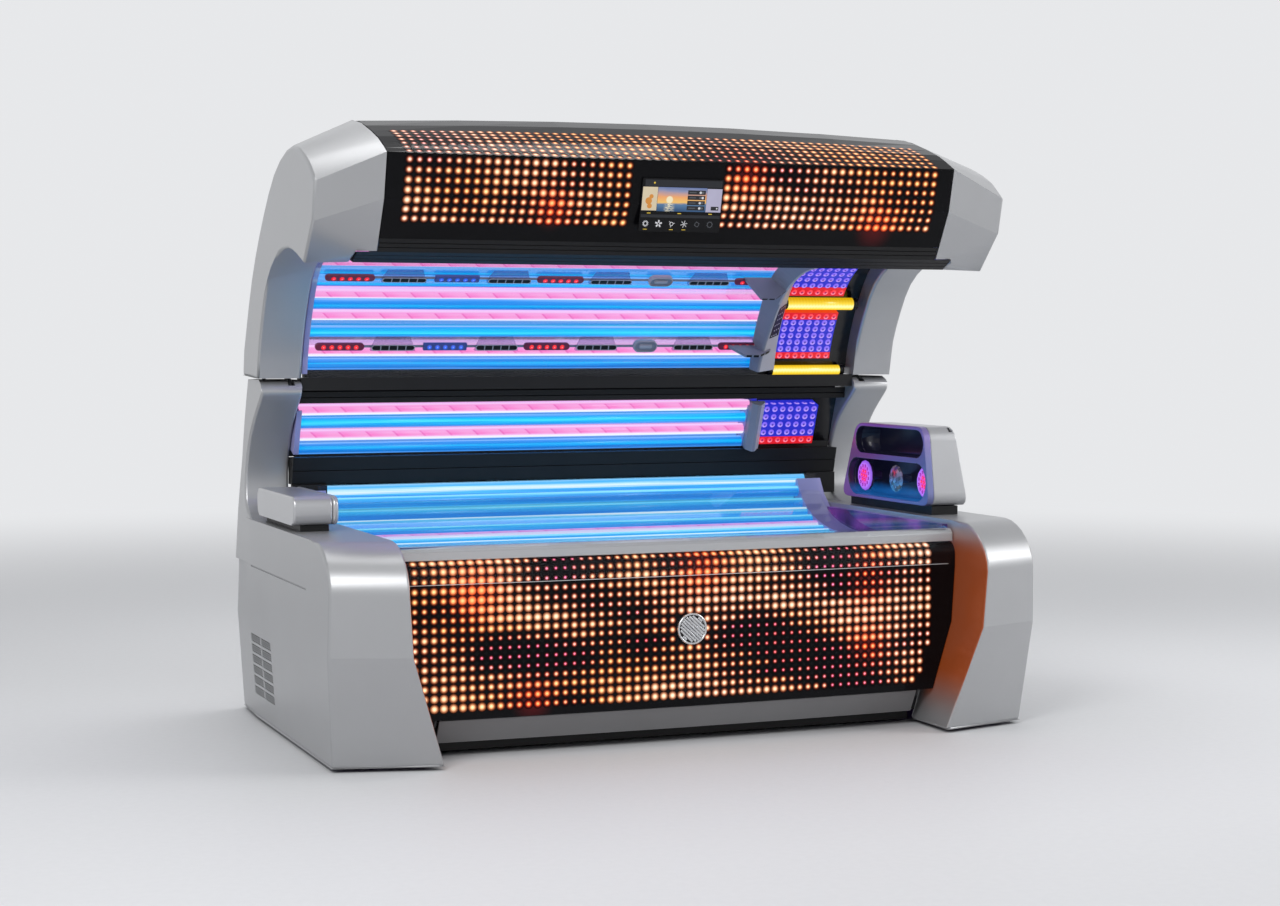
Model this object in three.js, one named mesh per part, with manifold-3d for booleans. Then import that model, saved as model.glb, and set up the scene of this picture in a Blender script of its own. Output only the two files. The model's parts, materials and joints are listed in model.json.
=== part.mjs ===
// Clamshell tanning bed: a lamp bench, a lamp wall and a hinged lamp canopy between two end pods.
// Millimetres, +Z up. +X runs to the head end and -Y is the side that the guest enters from.
// The origin lies on the floor under the middle of the bed. The canopy is modelled open.
import * as THREE from 'three';
import { mergeVertices } from 'three/addons/utils/BufferGeometryUtils.js';
import Module from 'manifold-3d';

const wasm = await Module();
wasm.setup();

// Clearances and wall thicknesses
const fit = 0.4; // between two pieces that seat on each other
const seam = 3; // open line between neighbouring covers
const mouldedWall = 6;
const plateSteel = 6;
const sheetSteel = 2;
const panelSheet = 5;
const boardSheet = 4;
const benchSheet = 6; // clear acrylic that the guest lies on
const coverSheet = 5; // clear acrylic in front of the wall and canopy lamps

// Across the bed: half widths, counted from the inner faces of the arms
const armInner = 1017;
const armTopWidth = 135;
const podLedge = 62; // the pods and the canopy caps reach this much further in than the arms
const podKneeTuck = 12;
const podFootTuck = 117;
const podTopFlare = 24;
const podKneeFlare = 28;
const podFootFlare = 5;
const cheekFlare = 13;
const armTopOuter = armInner + armTopWidth;
const cheekOuter = armTopOuter + cheekFlare;
const capInner = armInner - podLedge;
const podInner = armInner - podLedge;
const podKneeInner = podInner - podKneeTuck;
const podFootInner = podInner - podFootTuck;
const podTopOuter = armTopOuter + podTopFlare;
const podKneeOuter = armTopOuter + podKneeFlare;
const podFootOuter = armTopOuter + podFootFlare;

// Heights of an end pod
const podFloor = 12;
const podTop = 669;
const shoulderHeight = podTop - 148;
const kneeHeight = podTop - 329;

// End pods, seen from the side
const podFront = -619;
const podKneeFront = podFront + 5;
const podFootFront = podFront + 52;
const podSweep = 81; // the inner front edge stands this much further forward
const podRoundStart = podFront + 167; // where the round front edge has become the flat top
const podRoundPower = 1.2;
const podTopRear = 659;
const podShoulderRear = podTopRear + 15;
const podKneeRear = podTopRear + 32;
const podFootRear = podTopRear + 41;
const podCreaseY = podTopRear - 229; // the outer side turns in behind this line
const podCreaseTurn = 12;

// Seam groove and louvre in the outer side of a pod
const grooveHeight = shoulderHeight - 5;
const grooveWidth = 5;
const grooveDepth = 3;
const grooveFront = podFront + 282;
const louvreRear = podTopRear - 219;
const louvreLength = 290;
const louvreFront = louvreRear - louvreLength;
const louvreBottom = 92;
const louvreGroups = 6;
const louvreColumns = 2;
const louvreSlots = 4;
const louvreGroupPitch = 35;
const louvreSlotPitch = 7;
const louvreSlotHeight = 4;
const louvreMullion = 14;

// Hinge line of the canopy and the split between the lower arms and the canopy
const hingeY = podTopRear - 264;
const hingeZ = podTop + 418;
const hingePinRadius = 12;
const splitBelow = 43; // top of the lower arm above the hinge line
const splitGap = 14;

// Lamps
const lampRadius = 19;
const lampSides = 6;
const lampPitch = 44;
// The lower canopy lamps stand further apart, counted from the lowest
const canopyLampShifts = [0, -0.1, 0.3, 0.56, 0.44, 0.31, 0.26, 0.22, 0.12];
const lampGap = 7; // air between a clear cover and its lamps
const reflectorGap = 8;
const holderWidth = 18;
const holderGap = 3; // a holder stays this far behind its clear cover
const headPanelLength = 220;
const ridgeWidth = 60;
const lampFootEnd = 22 - armInner;
const headPanelOuter = podInner - 35;
const headPanelInner = headPanelOuter - headPanelLength;
const headStart = headPanelInner - ridgeWidth; // the lamps of the wall and canopy end here
const benchLampFoot = 50 - podInner;
const benchLampHead = podInner - 98;

// Bench front
const panelFront = podFront + 97;
const frontBow = 26; // the front curves back by this much at its ends
const panelBottom = 122;
const panelRollStart = podTop - 109;
const panelRollRadius = 40;
const kickBottom = 46;
const kickSetback = 40;
const trimHeight = 27;
const trimDepth = 32;
const lipFront = panelFront - 25;
const lipBottom = panelRollStart - 28;
const lipHalfLength = podInner - 23;
const lipCorner = 26;
const medallionRadius = 50;
const medallionHeight = panelRollStart - 196;
const medallionDepth = 14;

// Rails of the lamp wall
const topRailTop = hingeZ + 1;
const topRailBottom = hingeZ - 37;
const lowRailTop = hingeZ - 221;
const lowRailBottom = hingeZ - 312;
const railDepth = 52;

// Canopy covers
const roofCrown = 22; // rise of the roof at its middle
const fasciaBottom = hingeZ + 479;
const displayWidth = 275;
const displayHeight = 168;
const displayDepth = 6;
const displayCentreUp = 128; // along the fascia from its bottom edge

// Welded frames
const railTube = 60;
const tubeWall = 4;
const frontRailY = panelFront + 152;
const rearRailY = hingeY + 25;
const frameUnder = 40;
const ribReach = podFootInner - 18;
const ribStations = [-ribReach, -ribReach / 3, ribReach / 3, ribReach];
const canopyRibReach = capInner - 55;
const canopyTube = 40;
const lugThickness = 10;
const lugSlack = 20; // between the two hinge plates, beside the lug
const endPlateInner = armInner + 13;
const endPlateOuter = endPlateInner + plateSteel + lugThickness + lugSlack;
const lugInner = endPlateInner + plateSteel + lugSlack / 2;
const lugHalf = 22;
const armPlateHalf = 18;
const hingeEye = 24;

// Lift: a pulling actuator in each arm
const liftX = endPlateOuter + plateSteel + 33;
const liftPinRadius = 8;
const liftPinPlay = 1; // play of the barrel's eye on its pin
const liftOpenPivot = 6; // play of the rod's eye on its pin
const barrelRadius = 15;
const barrelLength = 235;
const rodRadius = 7;

// Cooling fan behind the louvre of the left pod
const fanSize = 200;
const fanDepth = 60;
const fanBore = fanSize / 2 - 8;
const fanTip = fanBore - 4;
const fanHub = 34;
const fanShaft = 6;
const fanBlades = 7;
const fanY = (louvreRear + louvreFront) / 2;
const fanX = endPlateOuter + plateSteel + 13;

// Console at the head end and nozzle box at the foot end
const consoleLength = 644;
const consoleRear = hingeY - 29;
const consoleFront = consoleRear - consoleLength;
const consoleTopFront = consoleFront + 40;
const consoleTopRear = consoleRear - 111;
const consoleHeight = 268;
const consoleBottom = podTop + 30;
const consoleTop = consoleBottom + consoleHeight;
const consoleFaceX = podInner + 20;
const consoleFaceDepth = 24;
const consoleOuterBottom = consoleFaceX + 152;
const consoleOuterTop = consoleFaceX + 118;
const consoleRound = 48;
const slotInset = 13;
const slotRearInset = 22;
const slotBar = 21;
const slotDepth = 96;
const upperSlotShare = 0.42; // of the height that both slots have
const slotsHeight = consoleHeight - 2 * slotInset - slotBar;
const upperSlotHeight = slotsHeight * upperSlotShare;
const lowerSlotHeight = slotsHeight - upperSlotHeight;
const lightRadius = lowerSlotHeight / 2 - 10;
const lightReach = 66; // from the back of the slot
const lightHead = 14;
const lightStem = 16;
const crystalRadius = lightRadius - 7;
const boxHeight = 90;
const boxBottom = podTop + 20;
const boxTop = boxBottom + boxHeight;
const boxCapX = podInner + 86;
const boxOuter = boxCapX + 123;
const boxCapDepth = 20;
const boxRound = 34;
const boxRear = hingeY - 12;
const boxLength = 518;
const boxFront = boxRear - boxLength;
const baseInset = 26;

// Plain solids and boolean work

const vec2 = (a, b) => new THREE.Vector2(a, b);
const vec3 = (x, y, z) => new THREE.Vector3(x, y, z);
const fromHinge = ([y, z]) => vec2(hingeY + y, hingeZ + z);

function solid(geometry) {
  const bare = geometry.clone();
  bare.deleteAttribute('normal');
  bare.deleteAttribute('uv');
  const merged = mergeVertices(bare);
  return new wasm.Manifold(new wasm.Mesh({
    numProp: 3,
    vertProperties: new Float32Array(merged.attributes.position.array),
    triVerts: new Uint32Array(merged.index.array),
  }));
}

function shell(body) {
  const mesh = body.getMesh();
  const geometry = new THREE.BufferGeometry();
  geometry.setAttribute('position', new THREE.BufferAttribute(mesh.vertProperties.slice(), 3));
  geometry.setIndex(new THREE.BufferAttribute(mesh.triVerts.slice(), 1));
  return geometry;
}

const join = (...geometries) => shell(geometries.map(solid).reduce((a, b) => a.add(b)));
const cut = (body, ...tools) => shell(tools.map(solid).reduce((a, b) => a.subtract(b), solid(body)));
const common = (a, b) => shell(solid(a).intersect(solid(b)));

function prism(outline, depth, steps) {
  const shape = outline instanceof THREE.Shape ? outline : new THREE.Shape(outline);
  return new THREE.ExtrudeGeometry(shape, { depth, steps, bevelEnabled: false, curveSegments: 4 });
}

// A side-view outline (y, z) drawn out along X
function prismX(outline, x0, x1, steps = 1) {
  const turn = new THREE.Matrix4().makeBasis(vec3(0, 1, 0), vec3(0, 0, 1), vec3(1, 0, 0));
  return prism(outline, x1 - x0, steps).applyMatrix4(turn).translate(x0, 0, 0);
}

// A front-view outline (x, z) drawn out along Y
function prismY(outline, y0, y1, steps = 1) {
  const turn = new THREE.Matrix4().makeBasis(vec3(1, 0, 0), vec3(0, 0, 1), vec3(0, -1, 0));
  return prism(outline, y1 - y0, steps).applyMatrix4(turn).translate(0, y1, 0);
}

function block(x0, x1, y0, y1, z0, z1) {
  const box = new THREE.BoxGeometry(x1 - x0, y1 - y0, z1 - z0);
  return box.translate((x0 + x1) / 2, (y0 + y1) / 2, (z0 + z1) / 2);
}

function rodX(radius, x0, x1, y, z, sides = 16) {
  const rod = new THREE.CylinderGeometry(radius, radius, x1 - x0, sides);
  return rod.rotateZ(Math.PI / 2).translate((x0 + x1) / 2, y, z);
}

// A round piece about X from its profile of (radius, distance along X) points
function latheX(profile, sides, y, z) {
  return new THREE.LatheGeometry(profile, sides).rotateZ(-Math.PI / 2).translate(0, y, z);
}

const signedArea = (points) => THREE.ShapeUtils.area(points);

// A closed skin through rings with the same number of points, with a cap on the first and the last
function loft(rings, flatten) {
  const count = rings[0].length;
  const last = (rings.length - 1) * count;
  const contour = rings[0].map(flatten);
  const turnsLeft = signedArea(contour) > 0;
  const index = [];
  rings.slice(1).forEach((_, ring) => {
    for (let i = 0; i < count; i += 1) {
      const a = ring * count + i;
      const b = ring * count + ((i + 1) % count);
      index.push(a, b, b + count, a, b + count, a + count);
    }
  });
  for (const face of THREE.ShapeUtils.triangulateShape(contour, [])) {
    const same = signedArea(face.map((i) => contour[i])) > 0 === turnsLeft;
    const [a, b, c] = same ? face : [face[2], face[1], face[0]];
    index.push(c, b, a, last + a, last + b, last + c);
  }
  const points = rings.flat();
  let volume = 0;
  for (let i = 0; i < index.length; i += 3) {
    const [a, b, c] = [points[index[i]], points[index[i + 1]], points[index[i + 2]]];
    volume += a.dot(b.clone().cross(c));
  }
  const geometry = new THREE.BufferGeometry().setFromPoints(points);
  geometry.setIndex(volume > 0 ? index : index.reverse());
  return geometry;
}

const sideView = (p) => vec2(p.y, p.z);
const planView = (p) => vec2(p.x, p.y);

// The same piece at the other end of the bed
function mirrored(geometry) {
  const copy = shell(solid(geometry)).scale(-1, 1, 1);
  copy.setIndex(Array.from(copy.index.array).reverse());
  return copy;
}

function bend(geometry, move) {
  const place = geometry.attributes.position;
  for (let i = 0; i < place.count; i += 1) {
    const p = vec3(place.getX(i), place.getY(i), place.getZ(i));
    move(p);
    place.setXYZ(i, p.x, p.y, p.z);
  }
  return geometry;
}

// Offsets of a line of points to its left, with mitred corners
function offsetLine(points, distance, closed = false) {
  const count = points.length;
  return points.map((p, i) => {
    const before = closed || i > 0 ? points[(i + count - 1) % count] : null;
    const after = closed || i < count - 1 ? points[(i + 1) % count] : null;
    const into = (before ? p.clone().sub(before) : after.clone().sub(p)).normalize();
    const out = (after ? after.clone().sub(p) : p.clone().sub(before)).normalize();
    const left = vec2(-into.y - out.y, into.x + out.x);
    return p.clone().addScaledVector(left, distance / (1 + into.dot(out)));
  });
}

const inset = (outline, distance) => offsetLine(outline, signedArea(outline) > 0 ? distance : -distance,
  true);
const band = (line, near, far) => [...offsetLine(line, near), ...offsetLine(line, far).reverse()];

const spline = (points) => new THREE.SplineCurve(points);

function stretch(curve, from, to, steps) {
  return Array.from({ length: steps + 1 }, (_, i) => curve.getPointAt(THREE.MathUtils.lerp(from, to,
    i / steps)));
}

// A point beside a curve: positive distances lie on the guest's side of the lamps
function beside(curve, along, distance) {
  const tangent = curve.getTangentAt(along);
  return curve.getPointAt(along).add(vec2(-tangent.y, tangent.x).multiplyScalar(distance));
}

function alongAtHeight(curve, height) {
  let [low, high] = [0, 0.6];
  for (let i = 0; i < 40; i += 1) {
    const middle = (low + high) / 2;
    if (curve.getPointAt(middle).y < height) low = middle;
    else high = middle;
  }
  return low;
}

// Finishes
const finish = (color, roughness, metalness) => new THREE.MeshStandardMaterial({ color, roughness,
  metalness });
const silver = finish(0xb9bbbf, 0.38, 0.55);
const glossBlack = finish(0x08080a, 0.12, 0.0);
const satinBlack = finish(0x131316, 0.5, 0.0);
const trimGrey = finish(0xb4b3b0, 0.45, 0.1);
const kickGrey = finish(0x6f7072, 0.5, 0.2);
const dividerGrey = finish(0x8f9096, 0.42, 0.15);
const clear = finish(0xdfeaf5, 0.05, 0.0);
const mirrorSheet = finish(0xd7dce2, 0.15, 0.9);
const lampBlue = finish(0x39b6ff, 0.3, 0.0);
const lampYellow = finish(0xffd84a, 0.3, 0.0);
const lightBoard = finish(0x2b2fe0, 0.4, 0.0);
const circuitGreen = finish(0x1f3b2c, 0.6, 0.0);
const frameSteel = finish(0x3a3d42, 0.55, 0.6);
const brightSteel = finish(0xc6c9cc, 0.25, 0.95);
const footRubber = finish(0x1b1b1b, 0.8, 0.0);
const crystalClear = finish(0xbcd4e8, 0.03, 0.0);

const bed = new THREE.Group();
const base = new THREE.Group();
const canopy = new THREE.Group();
bed.add(base, canopy);

function place(parent, name, geometry, material) {
  const piece = new THREE.Mesh(geometry, material);
  piece.name = name;
  parent.add(piece);
}

function placePair(parent, name, geometry, material) {
  place(parent, `right_${name}`, geometry, material);
  place(parent, `left_${name}`, mirrored(geometry), material);
}

// Side-view curves that several pieces follow

const splitLow = hingeZ + splitBelow;
const splitHigh = splitLow + splitGap;
const halfSpan = podFootRear + 200; // further than any piece reaches in Y
// Middles of the two tubes of the canopy frame
const canopyTubes = [[-545, 613], [-205, 513]].map(fromHinge);
const liftFoot = fromHinge([197, -257]);
const liftHead = fromHinge([125, 108]);

// The vault runs from the split at the rear, up and over to the front edge of the canopy
const vault = spline([
  [-33, 48], [-55, 135], [-103, 238], [-190, 363], [-306, 432], [-435, 458], [-545, 446], [-681, 405],
].map(fromHinge));

// The lamp wall runs up between its two rails
const wall = spline([vec2(hingeY + 107, lowRailTop + fit), vec2(hingeY + 39, topRailBottom - seam)]);

// The bench acrylic runs from its front crest down into the tub and up to the wall
const benchCrest = podTop - 17;
const tubFront = panelFront + 42;
const tubRear = hingeY + 101;
const tubPoint = (share, rise) => vec2(THREE.MathUtils.lerp(tubFront, tubRear, share), benchCrest + rise);
const tub = spline([
  tubPoint(0, 0), tubPoint(0.082, -26), tubPoint(0.266, -58), tubPoint(0.461, -67), tubPoint(0.666, -58),
  tubPoint(0.83, -27), tubPoint(0.943, 37), vec2(tubRear, lowRailBottom - seam),
]);

const lampDepth = (cover) => cover + lampGap + lampRadius;
const reflectorDepth = (cover) => lampDepth(cover) + lampRadius + reflectorGap;

// Front view of the space between the pods, less a seam
function betweenPods(gap) {
  const half = [
    vec2(podFootInner - gap, podFloor), vec2(podKneeInner - gap, kneeHeight),
    vec2(podInner - gap, shoulderHeight), vec2(podInner - gap, splitHigh),
  ];
  return [...half, ...half.map((p) => vec2(-p.x, p.y)).reverse()];
}

// End pods with the lower arms

function podLevels(wallIn) {
  const levels = [
    [podFloor, podFootInner, podFootOuter, podFootFront, podFootRear],
    [kneeHeight, podKneeInner, podKneeOuter, podKneeFront, podKneeRear],
    [shoulderHeight, podInner, podTopOuter, podFront, podShoulderRear],
  ];
  const roundSteps = 7;
  for (let i = 1; i <= roundSteps; i += 1) {
    const angle = Math.PI / 2 * i / roundSteps;
    const z = shoulderHeight + (podTop - shoulderHeight) * Math.sin(angle);
    const y = podRoundStart + (podFront - podRoundStart) * Math.cos(angle) ** podRoundPower;
    const rear = podShoulderRear + (podTopRear - podShoulderRear) * Math.sin(angle);
    levels.push([z, podInner, podTopOuter, y, rear]);
  }
  return levels.map(([z, inner, outer, front, rear], i) => {
    const height = i === 0 ? z - (wallIn > 0 ? podFloor : 0) : Math.min(z, podTop - wallIn);
    return [
      vec3(inner + wallIn, front - podSweep + wallIn, height),
      vec3(outer - wallIn, front + wallIn, height),
      vec3(outer - wallIn, podCreaseY, height),
      vec3(outer - podCreaseTurn - wallIn, rear - wallIn, height),
      vec3(inner + wallIn, rear - wallIn, height),
    ];
  });
}

function podCavity() {
  const rings = podLevels(mouldedWall);
  return loft(rings.filter((ring, i) => i === rings.length - 1 || ring[0].z < podTop - mouldedWall - 1),
    planView);
}

const armRear = spline([
  vec2(podShoulderRear, shoulderHeight), vec2(podTopRear - 4, podTop + 33),
  ...[[222, -231], [200, -95], [162, splitBelow]].map(fromHinge),
]);
const armRoot = hingeY - 3; // where the front of the arm runs out into the top of the pod
const armFront = spline([
  ...[[0, splitBelow], [-33, 28], [-45, 4], [-27, -19], [48, -77], [108, -137], [148, -207],
    [166, -287]].map(fromHinge),
  vec2(armRoot + 154, podTop + 50), vec2(armRoot + 106, podTop + 12), vec2(armRoot + 48, podTop + 1),
  vec2(armRoot, podTop - 1),
]);
const armOutline = [
  ...armRear.getPoints(8), ...armFront.getPoints(24), vec2(armRoot, shoulderHeight),
];

function armSolid(outline, wallIn) {
  const edge = [
    vec2(armInner + wallIn, shoulderHeight - 20), vec2(podTopOuter - wallIn, shoulderHeight - 20),
    vec2(armTopOuter - wallIn, splitLow + 20), vec2(armInner + wallIn, splitLow + 20),
  ];
  return common(prismX(outline, armInner - 50, podTopOuter + 50), prismY(edge, -halfSpan, halfSpan));
}

function louvreCuts() {
  const cuts = [];
  const width = (louvreRear - louvreFront - louvreMullion * (louvreColumns - 1)) / louvreColumns;
  for (let group = 0; group < louvreGroups; group += 1) {
    for (let slot = 0; slot < louvreSlots; slot += 1) {
      for (let column = 0; column < louvreColumns; column += 1) {
        const z = louvreBottom + group * louvreGroupPitch + slot * louvreSlotPitch;
        const y = louvreFront + column * (width + louvreMullion);
        cuts.push(block(podFootOuter - 4 * mouldedWall, podKneeOuter + 1, y, y + width, z,
          z + louvreSlotHeight));
      }
    }
  }
  return cuts;
}

function endPod(louvres) {
  const window = block(
    podFootInner - 20, podInner + 3 * mouldedWall, panelFront + 110, podTopRear - 60, -1, podTop - 90);
  const armMouth = block(
    armInner + mouldedWall, armTopOuter - mouldedWall, hingeY + 8, hingeY + 162 - mouldedWall,
    splitLow - 60, splitLow + 30);
  const lugSlot = block(
    lugInner - 6, lugInner + lugThickness + 6, hingeY - 36, hingeY + 70, hingeZ + 14, splitLow + 30);
  const groove = block(
    podTopOuter - grooveDepth, podKneeOuter + 10, grooveFront, podCreaseY,
    grooveHeight - grooveWidth / 2, grooveHeight + grooveWidth / 2);
  const body = join(loft(podLevels(0), planView), armSolid(armOutline, 0));
  const cavity = join(podCavity(), armSolid(inset(armOutline, mouldedWall), mouldedWall));
  return cut(body, cavity, window, armMouth, lugSlot, groove, ...louvres);
}

place(base, 'right_end_pod', endPod([]), silver);
place(base, 'left_end_pod', mirrored(endPod(louvreCuts())), silver);

// Canopy cheeks: a side face, a cap that rises to the roof and an arm that ends at the split

const cheekCrest = spline([
  [177, 57], [149, 174], [35, 380], [-126, 560], [-318, 707], [-537, 764], [-725, 712], [-825, 640],
].map(fromHinge));
const cheekFront = [[-797, 527], [-681, 405]].map(fromHinge);
const capCrest = spline([
  [177, 57], [165, 188], [75, 443], [-60, 625], [-250, 789], [-455, 858], [-722, 794], [-865, 730],
].map(fromHinge));
const capFront = [[-830, 593], [-746, 442]].map(fromHinge);
const crestSteps = 18;
const archSteps = 14;

// The line over the top of a cheek at a distance from the middle of the bed, from rear to front edge
function crestLine(x) {
  const share = (cheekOuter - x) / (cheekOuter - capInner);
  const outer = [...cheekCrest.getPoints(crestSteps), ...cheekFront];
  const inner = [...capCrest.getPoints(crestSteps), ...capFront];
  return outer.map((p, i) => p.clone().lerp(inner[i], share));
}

const archLine = stretch(vault, 0.97, 0, archSteps);
const ringAt = (x, outline) => outline.map((p) => vec3(x, p.x, p.y));
const cheekRing = (x, wallIn, station) => ringAt(x, inset([...crestLine(station), ...archLine], wallIn));

function openRing(x) {
  const skin = offsetLine(crestLine(x), mouldedWall);
  const below = hingeZ - splitBelow;
  return ringAt(x, [...skin, vec2(skin.at(-1).x, below), vec2(skin[0].x, below)]);
}

function canopyCheek() {
  const body = loft([cheekRing(cheekOuter, 0, cheekOuter), cheekRing(capInner, 0, capInner)], sideView);
  const hollowOuter = cheekOuter - mouldedWall;
  const hollowInner = armInner + mouldedWall;
  const hollow = loft(
    [cheekRing(hollowOuter, mouldedWall, hollowOuter), cheekRing(hollowInner, mouldedWall, hollowInner)],
    sideView);
  const capHollow = loft([openRing(armInner), openRing(capInner - 1)], sideView);
  const capBottom = capFront[1].y;
  const underCap = block(capInner - 10, armInner, -halfSpan, hingeY - 200, hingeZ, capBottom);
  const rearGap = block(capInner - 10, armInner, hingeY - 200, halfSpan, hingeZ, splitHigh + 40);
  const mouth = block(
    hollowInner, hollowOuter, hingeY - 33 + mouldedWall, hingeY + 177 - mouldedWall, splitHigh - 10,
    splitHigh + 40);
  const [frontTube, rearTube] = canopyTubes;
  const tubeWindow = block(
    armInner - 1, hollowInner + 1, frontTube.x - canopyTube, rearTube.x + canopyTube,
    rearTube.y - canopyTube,
    frontTube.y + canopyTube);
  return cut(body, hollow, capHollow, underCap, rearGap, mouth, tubeWindow);
}

placePair(canopy, 'canopy_cheek', canopyCheek(), silver);

// Canopy roof, fascia and front rail

const coverHalf = capInner - seam;
const browHeight = capCrest.getPoint(1).y;
const apexHeight = hingeZ + 858;

function crown(geometry) {
  return bend(geometry, (p) => {
    const rise = THREE.MathUtils.smoothstep(p.z, browHeight, apexHeight);
    p.z += roofCrown * rise * (1 - (p.x / capInner) ** 2);
  });
}

const roofEnd = 0.755;
const fasciaStart = 0.757;
const crownSteps = 6;
const crestPart = (from, to, steps) => (
  Array.from({ length: steps + 1 }, (_, i) => capCrest.getPoint(THREE.MathUtils.lerp(from, to,
    i / steps))));
const faceUp = capCrest.getPoint(1).sub(capFront[0]).normalize();
const fasciaFoot = capFront[0].clone().lerp(
  capFront[1], (capFront[0].y - fasciaBottom) / (capFront[0].y - capFront[1].y));
const roofLine = crestPart(0.01, roofEnd, 14);
const browLine = crestPart(fasciaStart, 1, 6);
const fasciaLine = [...browLine, capFront[0], fasciaFoot];

const boardLine = [
  capCrest.getPoint(1).addScaledVector(faceUp, -30), capFront[0], fasciaFoot.clone().lerp(capFront[0], 0.2),
];

place(canopy, 'canopy_roof', crown(
  prismX(band(roofLine, 0, panelSheet), -coverHalf, coverHalf, crownSteps)), glossBlack);
place(canopy, 'canopy_fascia', crown(
  prismX(band(fasciaLine, 0, panelSheet), -coverHalf, coverHalf, crownSteps)), glossBlack);
place(canopy, 'canopy_led_board', prismX(
  band(boardLine, panelSheet + fit, panelSheet + fit + boardSheet), -coverHalf + 40, coverHalf - 40),
  circuitGreen);

const railRib = 3;
function ribbed(from, to, ribs) {
  const line = [];
  const inward = to.clone().sub(from).normalize().multiplyScalar(railRib);
  const step = vec2(-inward.y, inward.x);
  for (let i = 1; i <= ribs; i += 1) {
    const middle = from.clone().lerp(to, i / (ribs + 1));
    line.push(middle.clone().sub(inward.clone().multiplyScalar(0.5)), middle.clone().add(step));
    line.push(middle.clone().add(inward.clone().multiplyScalar(0.5)));
  }
  return line;
}

function canopyFrontRail() {
  const railTop = fasciaBottom - fit;
  const notchTop = capFront[1].y - seam;
  const upperFront = fasciaFoot.clone().add(vec2(0, -fit));
  const tip = vec2(capFront[1].x + 4, notchTop);
  const toe = cheekFront[1].clone().add(vec2(-6, 4));
  const inner = beside(vault, 0.955, -2);
  const upper = [upperFront, ...ribbed(upperFront, tip, 2), tip, vec2(inner.x, notchTop),
    vec2(inner.x, railTop)];
  const lower = [tip, ...ribbed(tip, toe, 2), toe, inner, vec2(inner.x, notchTop + 1),
    vec2(tip.x, notchTop + 1)];
  return join(prismX(upper, -coverHalf, coverHalf), prismX(lower, seam - armInner, armInner - seam));
}

place(canopy, 'canopy_front_rail', canopyFrontRail(), satinBlack);

// Touch display, flat on the fascia
function controlDisplay() {
  const corner = 10;
  const [halfWidth, halfHeight] = [displayWidth / 2, displayHeight / 2];
  const shape = new THREE.Shape();
  shape.absarc(halfWidth - corner, halfHeight - corner, corner, 0, Math.PI / 2);
  shape.absarc(corner - halfWidth, halfHeight - corner, corner, Math.PI / 2, Math.PI);
  shape.absarc(corner - halfWidth, corner - halfHeight, corner, Math.PI, Math.PI * 1.5);
  shape.absarc(halfWidth - corner, corner - halfHeight, corner, Math.PI * 1.5, Math.PI * 2);
  const up = vec3(0, faceUp.x, faceUp.y);
  const out = vec3(1, 0, 0).cross(up);
  const centre = fasciaFoot.clone().addScaledVector(faceUp, displayCentreUp);
  const onFace = capFront[0].clone().addScaledVector(faceUp, centre.clone().sub(capFront[0]).dot(faceUp));
  const place3 = new THREE.Matrix4().makeBasis(vec3(1, 0, 0), up, out);
  return prism(shape, displayDepth, 1).applyMatrix4(place3).translate(
    0, onFace.x + out.y * fit, onFace.y + out.z * fit);
}

place(canopy, 'control_display', controlDisplay(), glossBlack);

// Lamp fields: reflector, lamps in their holders and clear cover, along any of the three curves

const strip = (curve, from, to, near, far, steps) => band(stretch(curve, from, to, steps), near, far);

// A stretch of a lamp field, shaped behind by the facets of the field's own reflector
function fieldBlock(field, from, to, near, x0, x1, steps) {
  const behind = fit - reflectorDepth(field.cover);
  const deep = prismX(strip(field.curve, from, to, -near, 2 * behind, steps), x0, x1);
  return common(deep, prismX(strip(field.curve, ...field.ends, -near + 30, behind, field.steps), x0 - 1,
    x1 + 1));
}

// Evenly spread lamps; a shift moves one by a share of the pitch
function lampPlaces(field, from, to, shifts = []) {
  const count = Math.floor((to - from) * field.curve.getLength() / lampPitch);
  return Array.from(
    { length: count }, (_, i) => from + (i + 0.5 + (shifts[i] ?? 0)) * (to - from) / count);
}

function lampBank(field, places, ends, x0, x1, footHolder, headHolder) {
  const near = field.cover + holderGap;
  const lamps = places.map((along) => {
    const centre = beside(field.curve, along, -lampDepth(field.cover));
    return rodX(lampRadius, x0 - holderWidth / 2, x1 + holderWidth / 2, centre.x, centre.y, lampSides);
  });
  return join(
    fieldBlock(field, ...ends, near, x0 - footHolder, x0, field.steps),
    fieldBlock(field, ...ends, near, x1, x1 + headHolder, field.steps), ...lamps);
}

function reflector(field, x0, x1) {
  const depth = reflectorDepth(field.cover);
  return prismX(strip(field.curve, ...field.ends, -depth, -depth - sheetSteel, field.steps), x0, x1);
}

// The line just behind a reflector, where a rib carries it
const behindReflector = (field) => offsetLine(
  stretch(field.curve, ...field.ends, field.steps), -reflectorDepth(field.cover) - sheetSteel - fit);

const vaultRecess = 8;
const canopyField = { curve: vault, cover: vaultRecess + coverSheet, ends: [0.012, 0.93], steps: 14 };
const benchField = { curve: tub, cover: benchSheet, ends: [0.13, 0.985], steps: 14 };
const wallField = { curve: wall, cover: coverSheet, ends: [0, 1], steps: 1 };
const vaultStart = vault.getPoint(0);

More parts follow.
